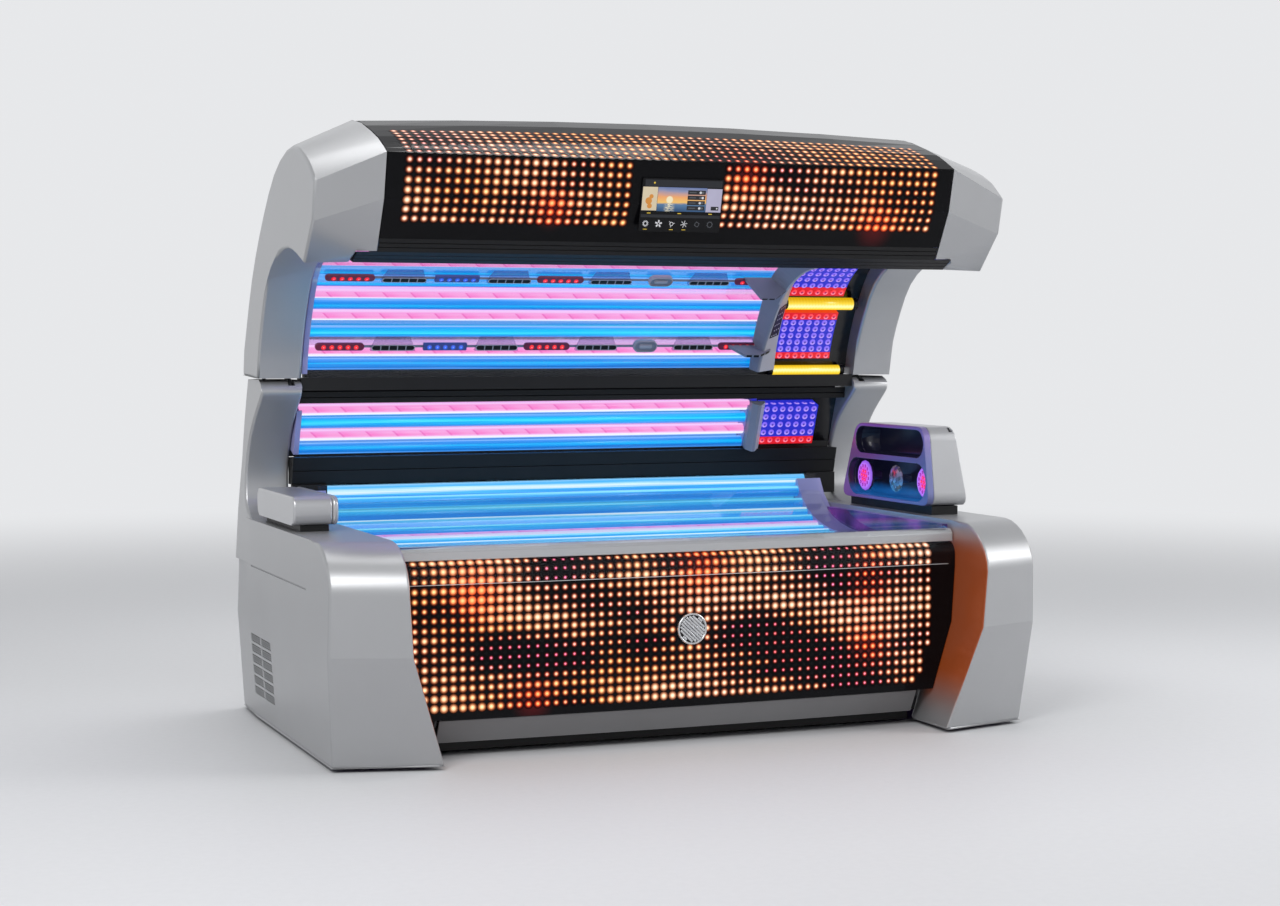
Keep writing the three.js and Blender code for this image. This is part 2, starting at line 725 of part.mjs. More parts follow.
place(canopy, 'canopy_reflector', reflector(canopyField, fit - armInner, armInner - fit), mirrorSheet);
place(canopy, 'canopy_lamp_bank', lampBank(
  canopyField, lampPlaces(canopyField, 0.018, 0.92, canopyLampShifts), canopyField.ends,
  lampFootEnd, headStart, holderWidth, holderWidth), lampBlue);
place(canopy, 'canopy_cover', prismX(
  strip(vault, 0, canopyField.ends[1], -vaultRecess, -canopyField.cover, 24), lampFootEnd - holderWidth,
  headStart), clear);
const rearRailBack = hingeY + 35;
place(canopy, 'canopy_rear_rail', prismX([
  vec2(vaultStart.x + 7, hingeZ + 7), vec2(rearRailBack, hingeZ + 7),
  vec2(rearRailBack, vaultStart.y + 1.5),
  vec2(vaultStart.x + 7, vaultStart.y + 1.5),
], fit - armInner, armInner - fit), satinBlack);

// Two rows of small light and air modules on the canopy cover
const moduleCount = 9;
const moduleWidth = 26;
const moduleDepth = 12;
const moduleSeat = 1.1; // lifts a flat module clear of the hollow curve under it
const moduleSpace = 55; // between neighbouring modules
const moduleFirst = lampFootEnd + 100;
const moduleLast = headStart - 87;
const modulePitch = (moduleLast - moduleFirst) / (moduleCount - 1);
const moduleLength = modulePitch - moduleSpace;
const moduleRearHeight = hingeZ + 154;
const moduleFrontHeight = hingeZ + 379;

function moduleRow(along) {
  const tangent = vault.getTangentAt(along);
  const origin = beside(vault, along, moduleSeat - vaultRecess);
  const up = vec3(0, tangent.x, tangent.y);
  const out = vec3(1, 0, 0).cross(up);
  const set = new THREE.Matrix4().makeBasis(vec3(1, 0, 0), up, out);
  const half = moduleLength / 2;
  const pieces = [prism([
    vec2(moduleFirst - half, -4), vec2(headStart - 10, -4), vec2(headStart - 10, 4),
    vec2(moduleFirst - half, 4),
  ], 4, 1)];
  for (let i = 0; i < moduleCount; i += 1) {
    const x = moduleFirst + i * modulePitch;
    const taper = i % 2 === 0 ? 14 : 22;
    const low = moduleWidth / 2;
    pieces.push(prism([
      vec2(x - half, -low), vec2(x + half, -low), vec2(x + half - taper, low), vec2(x - half + taper, low),
    ], moduleDepth, 1));
  }
  return join(...pieces).applyMatrix4(set).translate(0, origin.x, origin.y);
}

place(canopy, 'module_row_rear', moduleRow(alongAtHeight(vault, moduleRearHeight)), dividerGrey);
place(canopy, 'module_row_front', moduleRow(alongAtHeight(vault, moduleFrontHeight)), dividerGrey);

// Head end of the canopy: a ridge with two air wings, two light boxes and two yellow tubes
const ridgeInner = headStart + fit;
const ridgeOuter = headPanelInner - seam;
const ridgeHeight = 46;

function ridge(curve, from, to, foot, steps) {
  const top = (ridgeInner + ridgeOuter) / 2;
  const rings = stretch(curve, from, to, steps).map((_, i) => {
    const along = from + (to - from) * i / steps;
    const low = beside(curve, along, -foot);
    const high = beside(curve, along, ridgeHeight);
    const shoulder = beside(curve, along, ridgeHeight * 0.35);
    return [
      vec3(ridgeInner, low.x, low.y), vec3(ridgeOuter, low.x, low.y),
      vec3(ridgeOuter, shoulder.x, shoulder.y),
      vec3(top + 6, high.x, high.y), vec3(top - 10, high.x, high.y),
      vec3(ridgeInner, shoulder.x, shoulder.y),
    ];
  });
  const middle = stretch(curve, from, to, 1)[1].sub(stretch(curve, from, to, 1)[0]);
  const across = vec3(0, -middle.y, middle.x).normalize();
  return loft(rings, (p) => vec2(p.x, p.dot(across)));
}

function airWing(along) {
  const tangent = vault.getTangentAt(along);
  const up = vec3(0, tangent.x, tangent.y);
  const out = vec3(1, 0, 0).cross(up);
  const set = new THREE.Matrix4().makeBasis(vec3(1, 0, 0), up, out);
  const origin = beside(vault, along, ridgeHeight - 18);
  const shape = [vec2(30, -26), vec2(30, 26), vec2(-30, 44), vec2(-64, 40), vec2(-22, -16)];
  return prism(shape, 12, 1).applyMatrix4(set).translate(ridgeInner, origin.x, origin.y);
}

const wingHeights = [hingeZ + 128, hingeZ + 345];
place(canopy, 'head_divider', join(
  ridge(vault, 0.03, 0.9, canopyField.cover, 14),
  ...wingHeights.map((height) => airWing(alongAtHeight(vault, height)))), dividerGrey);

const lightBoxNear = vaultRecess + 2;
function headLight(low, high) {
  return fieldBlock(
    canopyField, alongAtHeight(vault, low), alongAtHeight(vault, high), lightBoxNear,
    headPanelInner + 3, headPanelOuter - 2, 5);
}

place(canopy, 'head_light_lower', headLight(hingeZ + 105, hingeZ + 265), lightBoard);
place(canopy, 'head_light_upper', headLight(hingeZ + 323, hingeZ + 413), lightBoard);
const tubeHeights = [hingeZ + 75, hingeZ + 294];
place(canopy, 'head_lamp_bank', lampBank(
  canopyField, tubeHeights.map((height) => alongAtHeight(vault, height)),
  [alongAtHeight(vault, tubeHeights[0] - 18), alongAtHeight(vault, tubeHeights[1] + 20)],
  headPanelInner, headPanelOuter, seam - fit, holderWidth), lampYellow);

// Canopy frame: three ribs on two tubes, with a hinge lug in each arm

const lugLine = spline([...[[0, 0], [45, 93], [35, 183], [-5, 263], [-85, 378]].map(fromHinge),
  canopyTubes[1], canopyTubes[0]]);

function canopyRib(x) {
  const underRoof = offsetLine([...roofLine.slice(1), ...browLine.slice(0, -1)], panelSheet + 3 * fit);
  const underBoard = offsetLine(boardLine, panelSheet + boardSheet + 2 * fit).slice(0, 2);
  const outline = [
    vec2(rearRailBack + 60, hingeZ + 14), vec2(rearRailBack + fit, hingeZ + 14),
    vec2(rearRailBack + fit, vaultStart.y + 3),
    ...behindReflector(canopyField), ...underBoard.reverse(), ...underRoof.reverse(),
  ];
  const opening = new THREE.Shape();
  const middle = fromHinge([-485, 648]);
  opening.absellipse(middle.x, middle.y, 210, 62, 0, Math.PI * 2, false, 0.05);
  const plate = prismX(outline, x - plateSteel / 2, x + plateSteel / 2);
  return crown(cut(plate, prismX(opening, x - plateSteel, x + plateSteel)));
}

function canopyFrame() {
  const half = canopyTube / 2;
  const lugOuter = lugInner + lugThickness;
  const tubes = canopyTubes.map((c) => block(-lugOuter, lugOuter, c.x - half, c.x + half, c.y - half,
    c.y + half));
  const bores = canopyTubes.map((c) => block(
    -lugOuter - 1, lugOuter + 1, c.x - half + tubeWall, c.x + half - tubeWall,
    c.y - half + tubeWall, c.y + half - tubeWall));
  const ear = [
    vec2(hingeY + 36, hingeZ + 78), vec2(liftHead.x, liftHead.y - 18), vec2(liftHead.x + 16, liftHead.y),
    vec2(liftHead.x, liftHead.y + 18), vec2(hingeY + 34, hingeZ + 170),
  ];
  const lug = join(
    prismX(band(stretch(lugLine, 0, 1, 10), -lugHalf, lugHalf), lugInner, lugOuter),
    rodX(hingeEye, lugInner, lugOuter, hingeY, hingeZ, 14), prismX(ear, lugInner, lugOuter),
    rodX(liftPinRadius, lugInner, liftX + 22, liftHead.x, liftHead.y, 10));
  const bored = cut(lug, rodX(hingePinRadius + fit, lugInner - 1, lugOuter + 1, hingeY, hingeZ, 14));
  return cut(join(...[-canopyRibReach, 0, canopyRibReach].map(canopyRib), ...tubes, bored,
    mirrored(bored)), ...bores);
}

place(canopy, 'canopy_frame', canopyFrame(), frameSteel);

// Front of the bench

const bowAt = (x) => frontBow * (x / podInner) ** 2;
const bowed = (geometry) => bend(geometry, (p) => { p.y += bowAt(p.x); });
const bowSteps = 10;

function rollLine() {
  const centre = vec2(panelFront + panelRollRadius, panelRollStart);
  const line = [vec2(panelFront, panelBottom)];
  for (let i = 0; i <= 6; i += 1) {
    const angle = Math.PI - Math.PI / 2 * i / 6;
    line.push(vec2(centre.x + panelRollRadius * Math.cos(angle),
      centre.y + panelRollRadius * Math.sin(angle)));
  }
  return line;
}

const panelTop = panelRollStart + panelRollRadius;
const trimBottom = panelTop + 2;
const trimFront = panelFront + 16;
const boardBack = panelFront + panelSheet + fit + boardSheet;

function betweenPodsOnly(geometry, gap) {
  return common(geometry, prismY(betweenPods(gap), -halfSpan, halfSpan));
}

place(base, 'front_panel', betweenPodsOnly(bowed(
  prismX(band(rollLine(), 0, -panelSheet), -podInner, podInner, bowSteps)), seam), glossBlack);
place(base, 'front_led_board', betweenPodsOnly(bowed(prismX([
  vec2(boardBack - boardSheet, panelBottom + 8), vec2(boardBack, panelBottom + 8),
  vec2(boardBack, panelRollStart - 8), vec2(boardBack - boardSheet, panelRollStart - 8),
], -podInner, podInner, bowSteps)), 20), circuitGreen);

const kickLine = [
  vec2(panelFront + 5, panelBottom - seam), vec2(panelFront + 5 + kickSetback, kickBottom),
];
const kickHalf = podFootInner - 28;
place(base, 'kick_plate', bowed(prismX(band(kickLine, 0, panelSheet), -kickHalf, kickHalf, bowSteps)),
  kickGrey);

function medallion() {
  const rings = 2;
  const profile = [vec2(0, 0), vec2(medallionRadius, 0), vec2(medallionRadius, 4 - medallionDepth)];
  for (let i = rings; i > 0; i -= 1) {
    const radius = medallionRadius * i / rings - 2;
    profile.push(vec2(radius, -medallionDepth), vec2(radius - 7, -medallionDepth),
      vec2(radius - 9, 3 - medallionDepth));
  }
  profile.push(vec2(0, 3 - medallionDepth));
  return new THREE.LatheGeometry(profile.reverse(), 18).translate(0, panelFront - fit, medallionHeight);
}

place(base, 'panel_medallion', medallion(), brightSteel);

// Bench: trim, clear acrylic, lamps and reflector

const benchLine = [vec2(lipFront, lipBottom)];
for (let i = 0; i < 6; i += 1) {
  const angle = Math.PI / 2 * i / 6;
  const [lipReach, lipRise] = [tubFront - lipFront, 68];
  benchLine.push(vec2(tubFront - lipReach * Math.cos(angle),
    benchCrest - lipRise + lipRise * Math.sin(angle)));
}
benchLine.push(...stretch(tub, 0, 1, 16));

function benchAcrylic() {
  const half = lipHalfLength;
  const corner = new THREE.Shape();
  corner.moveTo(half, lowRailTop);
  corner.lineTo(-half, lowRailTop);
  corner.absarc(lipCorner - half, lipBottom + lipCorner, lipCorner, Math.PI, Math.PI * 1.5);
  corner.absarc(half - lipCorner, lipBottom + lipCorner, lipCorner, Math.PI * 1.5, Math.PI * 2);
  const sheet = bend(prismX(band(benchLine, 0, -benchSheet), -half, half, 4), (p) => {
    p.y += bowAt(p.x) * THREE.MathUtils.clamp((tubFront + 230 - p.y) / 180, 0, 1);
  });
  return common(sheet, prismY(corner, -halfSpan, halfSpan));
}

place(base, 'bench_acrylic', benchAcrylic(), clear);
const trimTop = benchCrest - benchSheet - fit - 3;
place(base, 'bench_trim', bowed(prismX([
  vec2(trimFront, trimBottom), vec2(trimFront + trimDepth, trimBottom),
  vec2(trimFront + trimDepth, trimTop),
  vec2(trimFront + 14, trimTop), vec2(trimFront, trimBottom + trimHeight),
], seam - podInner, podInner - seam, bowSteps)), trimGrey);

place(base, 'bench_reflector', reflector(benchField, fit - podInner, podInner - fit), mirrorSheet);
place(base, 'bench_lamp_bank', lampBank(
  benchField, lampPlaces(benchField, 0.15, 0.97), benchField.ends,
  benchLampFoot, benchLampHead, podInner - seam + benchLampFoot, podInner - seam - benchLampHead),
  lampBlue);

// Lamp wall with its rails

const notchedRail = (top, bottom, back) => [
  top, ...ribbed(top, bottom, 1), bottom, vec2(back, bottom.y), vec2(back, top.y),
];
const wallHalf = armInner - fit;
const lowRailFront = hingeY + 119;
const lowRailBack = lowRailFront + railDepth;
const topRailFront = hingeY + 30;
const topRailBack = topRailFront + railDepth;

place(base, 'wall_bottom_rail', prismX(notchedRail(
  vec2(lowRailFront - 25, lowRailTop), vec2(lowRailFront, lowRailBottom), lowRailBack), -wallHalf,
  wallHalf), satinBlack);
place(base, 'wall_top_rail', prismX(notchedRail(
  vec2(topRailFront, topRailTop), vec2(topRailFront + 4, topRailBottom), topRailBack), -wallHalf,
  wallHalf), satinBlack);
place(base, 'wall_reflector', reflector(wallField, -wallHalf, wallHalf), mirrorSheet);
place(base, 'wall_lamp_bank', lampBank(
  wallField, lampPlaces(wallField, 0, 0.94), [0.04, 0.86], lampFootEnd, headStart, holderWidth,
  holderWidth), lampBlue);
place(base, 'wall_cover', prismX(
  strip(wall, 0, 1, 0, -coverSheet, 1), lampFootEnd - holderWidth, headStart), clear);
place(base, 'wall_divider', ridge(wall, 0.05, 0.98, coverSheet, 1), dividerGrey);
place(base, 'wall_led_board', fieldBlock(wallField, 0.08, 0.86, 4, headPanelInner, headPanelOuter, 1),
  lightBoard);

// Back panel between the pods
const backLine = [
  vec2(podFootRear - mouldedWall, podFloor + 18), vec2(podKneeRear - mouldedWall, kneeHeight),
  vec2(podShoulderRear - mouldedWall, shoulderHeight), vec2(podTopRear - mouldedWall, podTop),
  ...[[216, -231], [194, -95], [158, splitBelow - 10]].map(fromHinge),
];
place(base, 'back_panel', betweenPodsOnly(
  prismX(band(backLine, 0, panelSheet), -podInner, podInner), seam), satinBlack);

// Base frame: two rails and two cross tubes, four ribs and the hinge plates in the arms

const frameTop = frameUnder + railTube;
const endTubeX = (endPlateInner + endPlateOuter + plateSteel) / 2;

function atHeight(line, z) {
  const above = line.findIndex((p) => p.y > z);
  const [a, b] = [line[above - 1], line[above]];
  return a.clone().lerp(b, (z - a.y) / (b.y - a.y));
}

function baseRib(x) {
  const bow = vec2(bowAt(x), 0);
  const front = boardBack + fit;
  const kickBack = offsetLine(kickLine, panelSheet + fit);
  const ribFoot = frameTop - tubeWall / 2;
  const ribTop = topRailTop - 4;
  const back = offsetLine(backLine, panelSheet + fit);
  const bowedEdge = [
    vec2(trimFront + trimDepth, trimBottom - fit), vec2(trimFront + 26, trimBottom - fit),
    vec2(trimFront + 26, panelRollStart + 24), vec2(front, panelRollStart - 30), vec2(front, kickBack[0].y),
    atHeight([...kickBack].reverse(), ribFoot),
  ];
  return prismX([
    vec2(podFootRear - 40, ribFoot), ...back.filter((p) => p.y > kneeHeight - 1 && p.y < ribTop),
    atHeight(back, ribTop),
    vec2(topRailBack + fit, ribTop), vec2(topRailBack + fit, ribTop - 12),
    ...behindReflector(wallField).reverse(),
    vec2(lowRailBack + fit, lowRailTop), vec2(lowRailBack + fit, lowRailBottom),
    ...behindReflector(benchField).reverse(), ...bowedEdge.map((p) => p.add(bow)),
  ], x - plateSteel / 2, x + plateSteel / 2);
}

// Each arm holds two plates that follow its middle from the rear leg up to the hinge
const armSpine = spline([
  vec2(podTopRear - 57, podTop - 95), vec2(podTopRear - 53, podTop + 15),
  ...[[203, -297], [181, -212], [145, -135], [85, -61], [0, 0]].map(fromHinge),
]);

function hingePlate(x) {
  const leg = block(x, x + plateSteel, podTopRear - 99, podTopRear - 20, frameUnder + 10, podTop - 80);
  const plate = join(
    prismX(band(stretch(armSpine, 0, 1, 6), -armPlateHalf, armPlateHalf), x, x + plateSteel), leg,
    rodX(hingeEye, x, x + plateSteel, hingeY, hingeZ, 14));
  return cut(plate, rodX(hingePinRadius + fit, x - 1, x + plateSteel + 1, hingeY, hingeZ, 14));
}

function baseFrame() {
  const half = railTube / 2;
  const end = endTubeX + half;
  const rails = [frontRailY, rearRailY].map((y) => block(-end, end, y - half, y + half, frameUnder,
    frameTop));
  const railBores = [frontRailY, rearRailY].map((y) => block(
    -end - 1, end + 1, y - half + tubeWall, y + half - tubeWall, frameUnder + tubeWall,
    frameTop - tubeWall));
  const tubes = [-endTubeX, endTubeX].map((x) => block(
    x - half, x + half, frontRailY - half, podTopRear - 20, frameUnder, frameTop));
  const tubeBores = [-endTubeX, endTubeX].map((x) => block(
    x - half + tubeWall, x + half - tubeWall, frontRailY - half - 1, podTopRear, frameUnder + tubeWall,
    frameTop - tubeWall));
  const side = join(
    hingePlate(endPlateInner), hingePlate(endPlateOuter),
    rodX(liftPinRadius, endPlateOuter, liftX + 22, liftFoot.x, liftFoot.y, 10));
  return cut(
    join(...rails, ...tubes, ...ribStations.map(baseRib), side, mirrored(side)), ...railBores,
    ...tubeBores);
}

place(base, 'base_frame', baseFrame(), frameSteel);

function hingePin() {
  const head = 5;
  const x0 = endPlateInner - fit;
  const x1 = endPlateOuter + plateSteel + fit;
  return latheX([
    vec2(0, x0 - head), vec2(hingePinRadius + 6, x0 - head), vec2(hingePinRadius + 6, x0),
    vec2(hingePinRadius, x0),
    vec2(hingePinRadius, x1), vec2(hingePinRadius + 4, x1), vec2(hingePinRadius + 4, x1 + head),
    vec2(0, x1 + head),
  ], 8, hingeY, hingeZ);
}

placePair(base, 'hinge_pin', hingePin(), brightSteel);

// Levelling feet under the crossings of the frame
function levellingFoot(x, y) {
  return new THREE.LatheGeometry([
    vec2(0, 0), vec2(36, 0), vec2(36, 6), vec2(12, 15), vec2(12, frameUnder - fit),
    vec2(0, frameUnder - fit),
  ], 8).rotateX(Math.PI / 2).translate(x, y, 0);
}

[['front_left', -1, frontRailY], ['front_right', 1, frontRailY], ['rear_left', -1, rearRailY],
  ['rear_right', 1, rearRailY]].forEach(([corner, side, y]) => {
  place(base, `levelling_foot_${corner}`, levellingFoot(side * endTubeX, y), footRubber);
});

// Toe board and ballast tray
const toeHalf = podFootInner - 10;
place(base, 'toe_board', block(
  -toeHalf, toeHalf, frontRailY - railTube / 2 - fit - panelSheet, frontRailY - railTube / 2 - fit,
  podFloor,
  frameTop - 10), satinBlack);

function ballastTray() {
  const half = ribStations[2] - plateSteel / 2 - 4;
  const floor = frameTop + fit;
  const [front, rear] = [frontRailY - 20, rearRailY + 20];
  const tray = cut(
    block(-half, half, front, rear, floor, floor + 34),
    block(-half + sheetSteel, half - sheetSteel, front + sheetSteel, rear - sheetSteel, floor + sheetSteel,
      floor + 40));
  const ballasts = [];
  for (let i = 0; i < 4; i += 1) {
    const y = front + 70 + i * 180;
    ballasts.push(block(-half + 60, -half + 240, y, y + 90, floor + 1, floor + 62));
    ballasts.push(block(half - 240, half - 60, y, y + 90, floor + 1, floor + 62));
  }
  return join(tray, ...ballasts);
}

place(base, 'ballast_tray', ballastTray(), frameSteel);

// Lift: a barrel on the base and a rod that runs in it to the hinge lug

const lift = liftHead.clone().sub(liftFoot);
const liftLength = lift.length();
const liftLean = Math.atan2(-lift.x, lift.y);
const barrelEye = 16;
const rodEye = 22;
const eyeHalfWidth = 12;

const rodZ = (radius, z0, z1, sides) => (
  new THREE.CylinderGeometry(radius, radius, z1 - z0, sides).rotateX(Math.PI / 2).translate(0, 0,
    (z0 + z1) / 2));
const setInArm = (geometry) => geometry.rotateX(liftLean).translate(liftX, liftFoot.x, liftFoot.y);

function liftBarrel() {
  const body = join(
    rodX(barrelEye, -eyeHalfWidth, eyeHalfWidth, 0, 0, 10),
    rodZ(barrelRadius, barrelEye - 4, barrelLength, 12));
  return setInArm(cut(
    body, rodX(liftPinRadius + liftPinPlay, -eyeHalfWidth - 1, eyeHalfWidth + 1, 0, 0, 10),
    rodZ(rodRadius + fit, barrelEye + 14, barrelLength + 1, 10)));
}

function liftRod() {
  const body = join(
    rodX(rodEye, -eyeHalfWidth, eyeHalfWidth, 0, liftLength, 12),
    rodZ(rodRadius, barrelLength - 130, liftLength - rodEye + 4, 10));
  const bore = rodX(liftPinRadius + liftOpenPivot, -eyeHalfWidth - 1, eyeHalfWidth + 1, 0, liftLength, 12);
  return setInArm(cut(body, bore));
}

placePair(base, 'lift_barrel', liftBarrel(), frameSteel);
placePair(base, 'lift_rod', liftRod(), brightSteel);

// Cooling fan on the cross tube behind the louvre

const fanZ = frameTop + fit + fanSize / 2;
const strutWidth = 10;

function fanHousing() {
  const half = fanSize / 2;
  const [inner, outer] = [-fanDepth / 2, fanDepth / 2];
  const ring = cut(block(inner, outer, -half, half, -half, half),
    rodX(fanBore, inner - 1, outer + 1, 0, 0, 18));
  const struts = [0, 1, 2].map((i) => (
    block(inner, inner + 6, -strutWidth / 2, strutWidth / 2, 0, fanBore + 4).rotateX(i * Math.PI * 2 / 3)));
  return join(
    ring, ...struts, rodX(fanHub, inner, inner + 8, 0, 0, 12), rodX(fanShaft, inner, outer - 8, 0, 0, 12),
  ).translate(-fanX, fanY, fanZ);
}

function fanRotor() {
  const [inner, outer] = [8 + fit - fanDepth / 2, fanDepth / 2 - 12];
  const bladePitch = THREE.MathUtils.degToRad(38);
  const blades = Array.from({ length: fanBlades }, (_, i) => (
    block(-18, 18, -1.5, 1.5, fanHub - 4, fanTip).rotateZ(bladePitch).translate((inner + outer) / 2, 0, 0)
      .rotateX(i * Math.PI * 2 / fanBlades)));
  const hub = join(rodX(fanHub, inner, outer, 0, 0, 14), ...blades);
  return cut(hub, rodX(fanShaft + fit, inner - 1, outer + 1, 0, 0, 12)).translate(-fanX, fanY, fanZ);
}

place(base, 'fan_housing', fanHousing(), satinBlack);
place(base, 'fan_rotor', fanRotor(), satinBlack);

// Console on the head-end pod: a lit face with two slots, a shell and a recessed base

function roundedOutline(corners, radius) {
  const shape = new THREE.Shape();
  corners.forEach((corner, i) => {
    const before = corners[(i + corners.length - 1) % corners.length];
    const after = corners[(i + 1) % corners.length];
    const start = corner.clone().add(before.clone().sub(corner).setLength(radius));
    const end = corner.clone().add(after.clone().sub(corner).setLength(radius));
    if (i === 0) shape.moveTo(start.x, start.y);
    else shape.lineTo(start.x, start.y);
    shape.quadraticCurveTo(corner.x, corner.y, end.x, end.y);
  });
  return shape;
}

const consoleCorners = [
  vec2(consoleFront, consoleBottom), vec2(consoleRear, consoleBottom), vec2(consoleTopRear, consoleTop),
  vec2(consoleTopFront, consoleTop),
];
const consoleOutline = roundedOutline(consoleCorners, consoleRound);
const consoleShellX = consoleFaceX + consoleFaceDepth + fit;
const pocketBack = consoleFaceX + slotDepth;

// Each slot keeps its distance from the front and from the slanted rear
function slot(bottom, height) {
  const radius = height / 2;
  const z = bottom + radius;
  const share = (z - consoleBottom) / (consoleTop - consoleBottom);
  const front = THREE.MathUtils.lerp(consoleFront, consoleTopFront, share) + slotInset;
  const rear = THREE.MathUtils.lerp(consoleRear, consoleTopRear, share) - slotRearInset;
  const shape = new THREE.Shape();
  shape.absarc(rear - radius, z, radius, -Math.PI / 2, Math.PI / 2);
  shape.absarc(front + radius, z, radius, Math.PI / 2, Math.PI * 1.5);
  return { shape, z, front: front + radius, rear: rear - radius };
}

const lowerSlot = slot(consoleBottom + slotInset, lowerSlotHeight);
const upperSlot = slot(consoleBottom + slotInset + lowerSlotHeight + slotBar, upperSlotHeight);
const consoleSlots = (x0, x1) => [lowerSlot, upperSlot].map(({ shape }) => prismX(shape, x0, x1));

function consoleShell() {
  const side = [
    vec2(consoleShellX, consoleBottom - 1), vec2(consoleOuterBottom, consoleBottom - 1),
    vec2(consoleOuterTop, consoleTop + 1), vec2(consoleShellX, consoleTop + 1),
  ];
  const rear = pocketBack + mouldedWall;
  const back = [
    vec2(rear, consoleBottom - 1), vec2(consoleOuterBottom - mouldedWall, consoleBottom - 1),
    vec2(consoleOuterTop - mouldedWall, consoleTop - mouldedWall), vec2(rear, consoleTop - mouldedWall),
  ];
  const body = common(
    prismX(consoleOutline, consoleShellX, consoleOuterBottom + 1),
    prismY(side, consoleFront - 1, consoleRear + 1));
  const hollow = prismY(back, consoleTopFront + mouldedWall, consoleTopRear - consoleRound);
  return cut(body, hollow, ...consoleSlots(consoleShellX - 1, pocketBack));
}

place(base, 'console_base', block(
  consoleFaceX + baseInset, consoleOuterBottom - baseInset, consoleFront + baseInset,
  consoleRear - baseInset,
  podTop + fit, consoleBottom - fit), satinBlack);
place(base, 'console_shell', consoleShell(), silver);
place(base, 'console_face', cut(
  prismX(consoleOutline, consoleFaceX, consoleFaceX + consoleFaceDepth),
  ...consoleSlots(consoleFaceX - 1, consoleShellX)), silver);

function consoleLight(y) {
  const back = pocketBack - fit;
  const front = back - lightReach;
  return latheX([
    vec2(0, front), vec2(lightRadius - 6, front), vec2(lightRadius, front + 5),
    vec2(lightRadius, front + lightHead), vec2(lightStem, front + lightHead), vec2(lightStem, back),
    vec2(0, back),
  ], 14, y, lowerSlot.z);
}

function consoleCrystal() {
  const back = pocketBack - fit;
  const front = back - lightReach;
  return latheX([
    vec2(0, front), vec2(crystalRadius * 0.6, front + 3), vec2(crystalRadius, front + 10),
    vec2(crystalRadius, front + lightHead), vec2(lightStem, front + lightHead), vec2(lightStem, back),
    vec2(0, back),
  ], 14, (lowerSlot.front + lowerSlot.rear) / 2, lowerSlot.z);
}

place(base, 'console_light_rear', consoleLight(lowerSlot.rear), lightBoard);
place(base, 'console_light_front', consoleLight(lowerSlot.front), lightBoard);
place(base, 'console_crystal', consoleCrystal(), crystalClear);

// Nozzle box on the foot-end pod: a shell, an end cap and a recessed base

const boxOutline = roundedOutline([
  vec2(boxFront, boxBottom), vec2(boxRear, boxBottom), vec2(boxRear, boxTop),
  vec2(boxFront, boxTop),
], boxRound);

function footBoxShell() {
  const hollow = block(
    boxCapX + mouldedWall, boxOuter - mouldedWall, boxFront + boxRound, boxRear - boxRound,
    boxBottom - 1,
    boxTop - mouldedWall);
  return cut(prismX(boxOutline, boxCapX, boxOuter), hollow);
}

place(base, 'foot_box_base', mirrored(block(
  boxCapX - boxCapDepth + baseInset, boxOuter - baseInset, boxFront + baseInset,
  boxRear - baseInset, podTop + fit,
  boxBottom - fit)), satinBlack);
place(base, 'foot_box_shell', mirrored(footBoxShell()), silver);
place(base, 'foot_box_cap', mirrored(prismX(boxOutline, boxCapX - boxCapDepth, boxCapX - fit)), silver);

export default bed;
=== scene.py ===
"""Looks of a clamshell tanning bed: lacquered pods, dotted light panels, lamp vault and console."""

import json
import math

import bmesh
import bpy
from mathutils import Matrix, Vector, noise
from mathutils.bvhtree import BVHTree


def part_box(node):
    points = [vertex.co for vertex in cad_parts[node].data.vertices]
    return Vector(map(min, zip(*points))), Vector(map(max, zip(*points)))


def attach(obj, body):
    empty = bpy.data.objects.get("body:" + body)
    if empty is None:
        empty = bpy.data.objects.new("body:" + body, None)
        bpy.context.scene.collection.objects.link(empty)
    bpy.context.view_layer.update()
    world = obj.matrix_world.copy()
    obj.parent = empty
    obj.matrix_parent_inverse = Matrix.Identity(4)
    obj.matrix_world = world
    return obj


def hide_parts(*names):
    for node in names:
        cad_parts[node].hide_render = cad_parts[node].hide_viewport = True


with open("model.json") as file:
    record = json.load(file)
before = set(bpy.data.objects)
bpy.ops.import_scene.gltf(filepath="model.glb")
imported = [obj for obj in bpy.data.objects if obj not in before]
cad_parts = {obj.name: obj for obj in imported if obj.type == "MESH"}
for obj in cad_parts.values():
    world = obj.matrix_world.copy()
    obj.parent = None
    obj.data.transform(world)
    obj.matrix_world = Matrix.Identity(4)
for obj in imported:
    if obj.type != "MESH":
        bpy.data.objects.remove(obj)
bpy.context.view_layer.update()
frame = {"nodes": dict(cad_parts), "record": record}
nodes = frame["nodes"]
body_of_node = {n: body for body, held in frame["record"]["behaviour"]["bodies"].items() for n in held}
slot_of_node = {p["node"]: p["material_slot"] for p in frame["record"]["subparts"]}


# Node graphs, for finishes and for Geometry Nodes


def arithmetic(operation):
    """A method that puts a socket and its partners through one maths node."""
    return lambda self, *others: self.math(operation, self, *others)


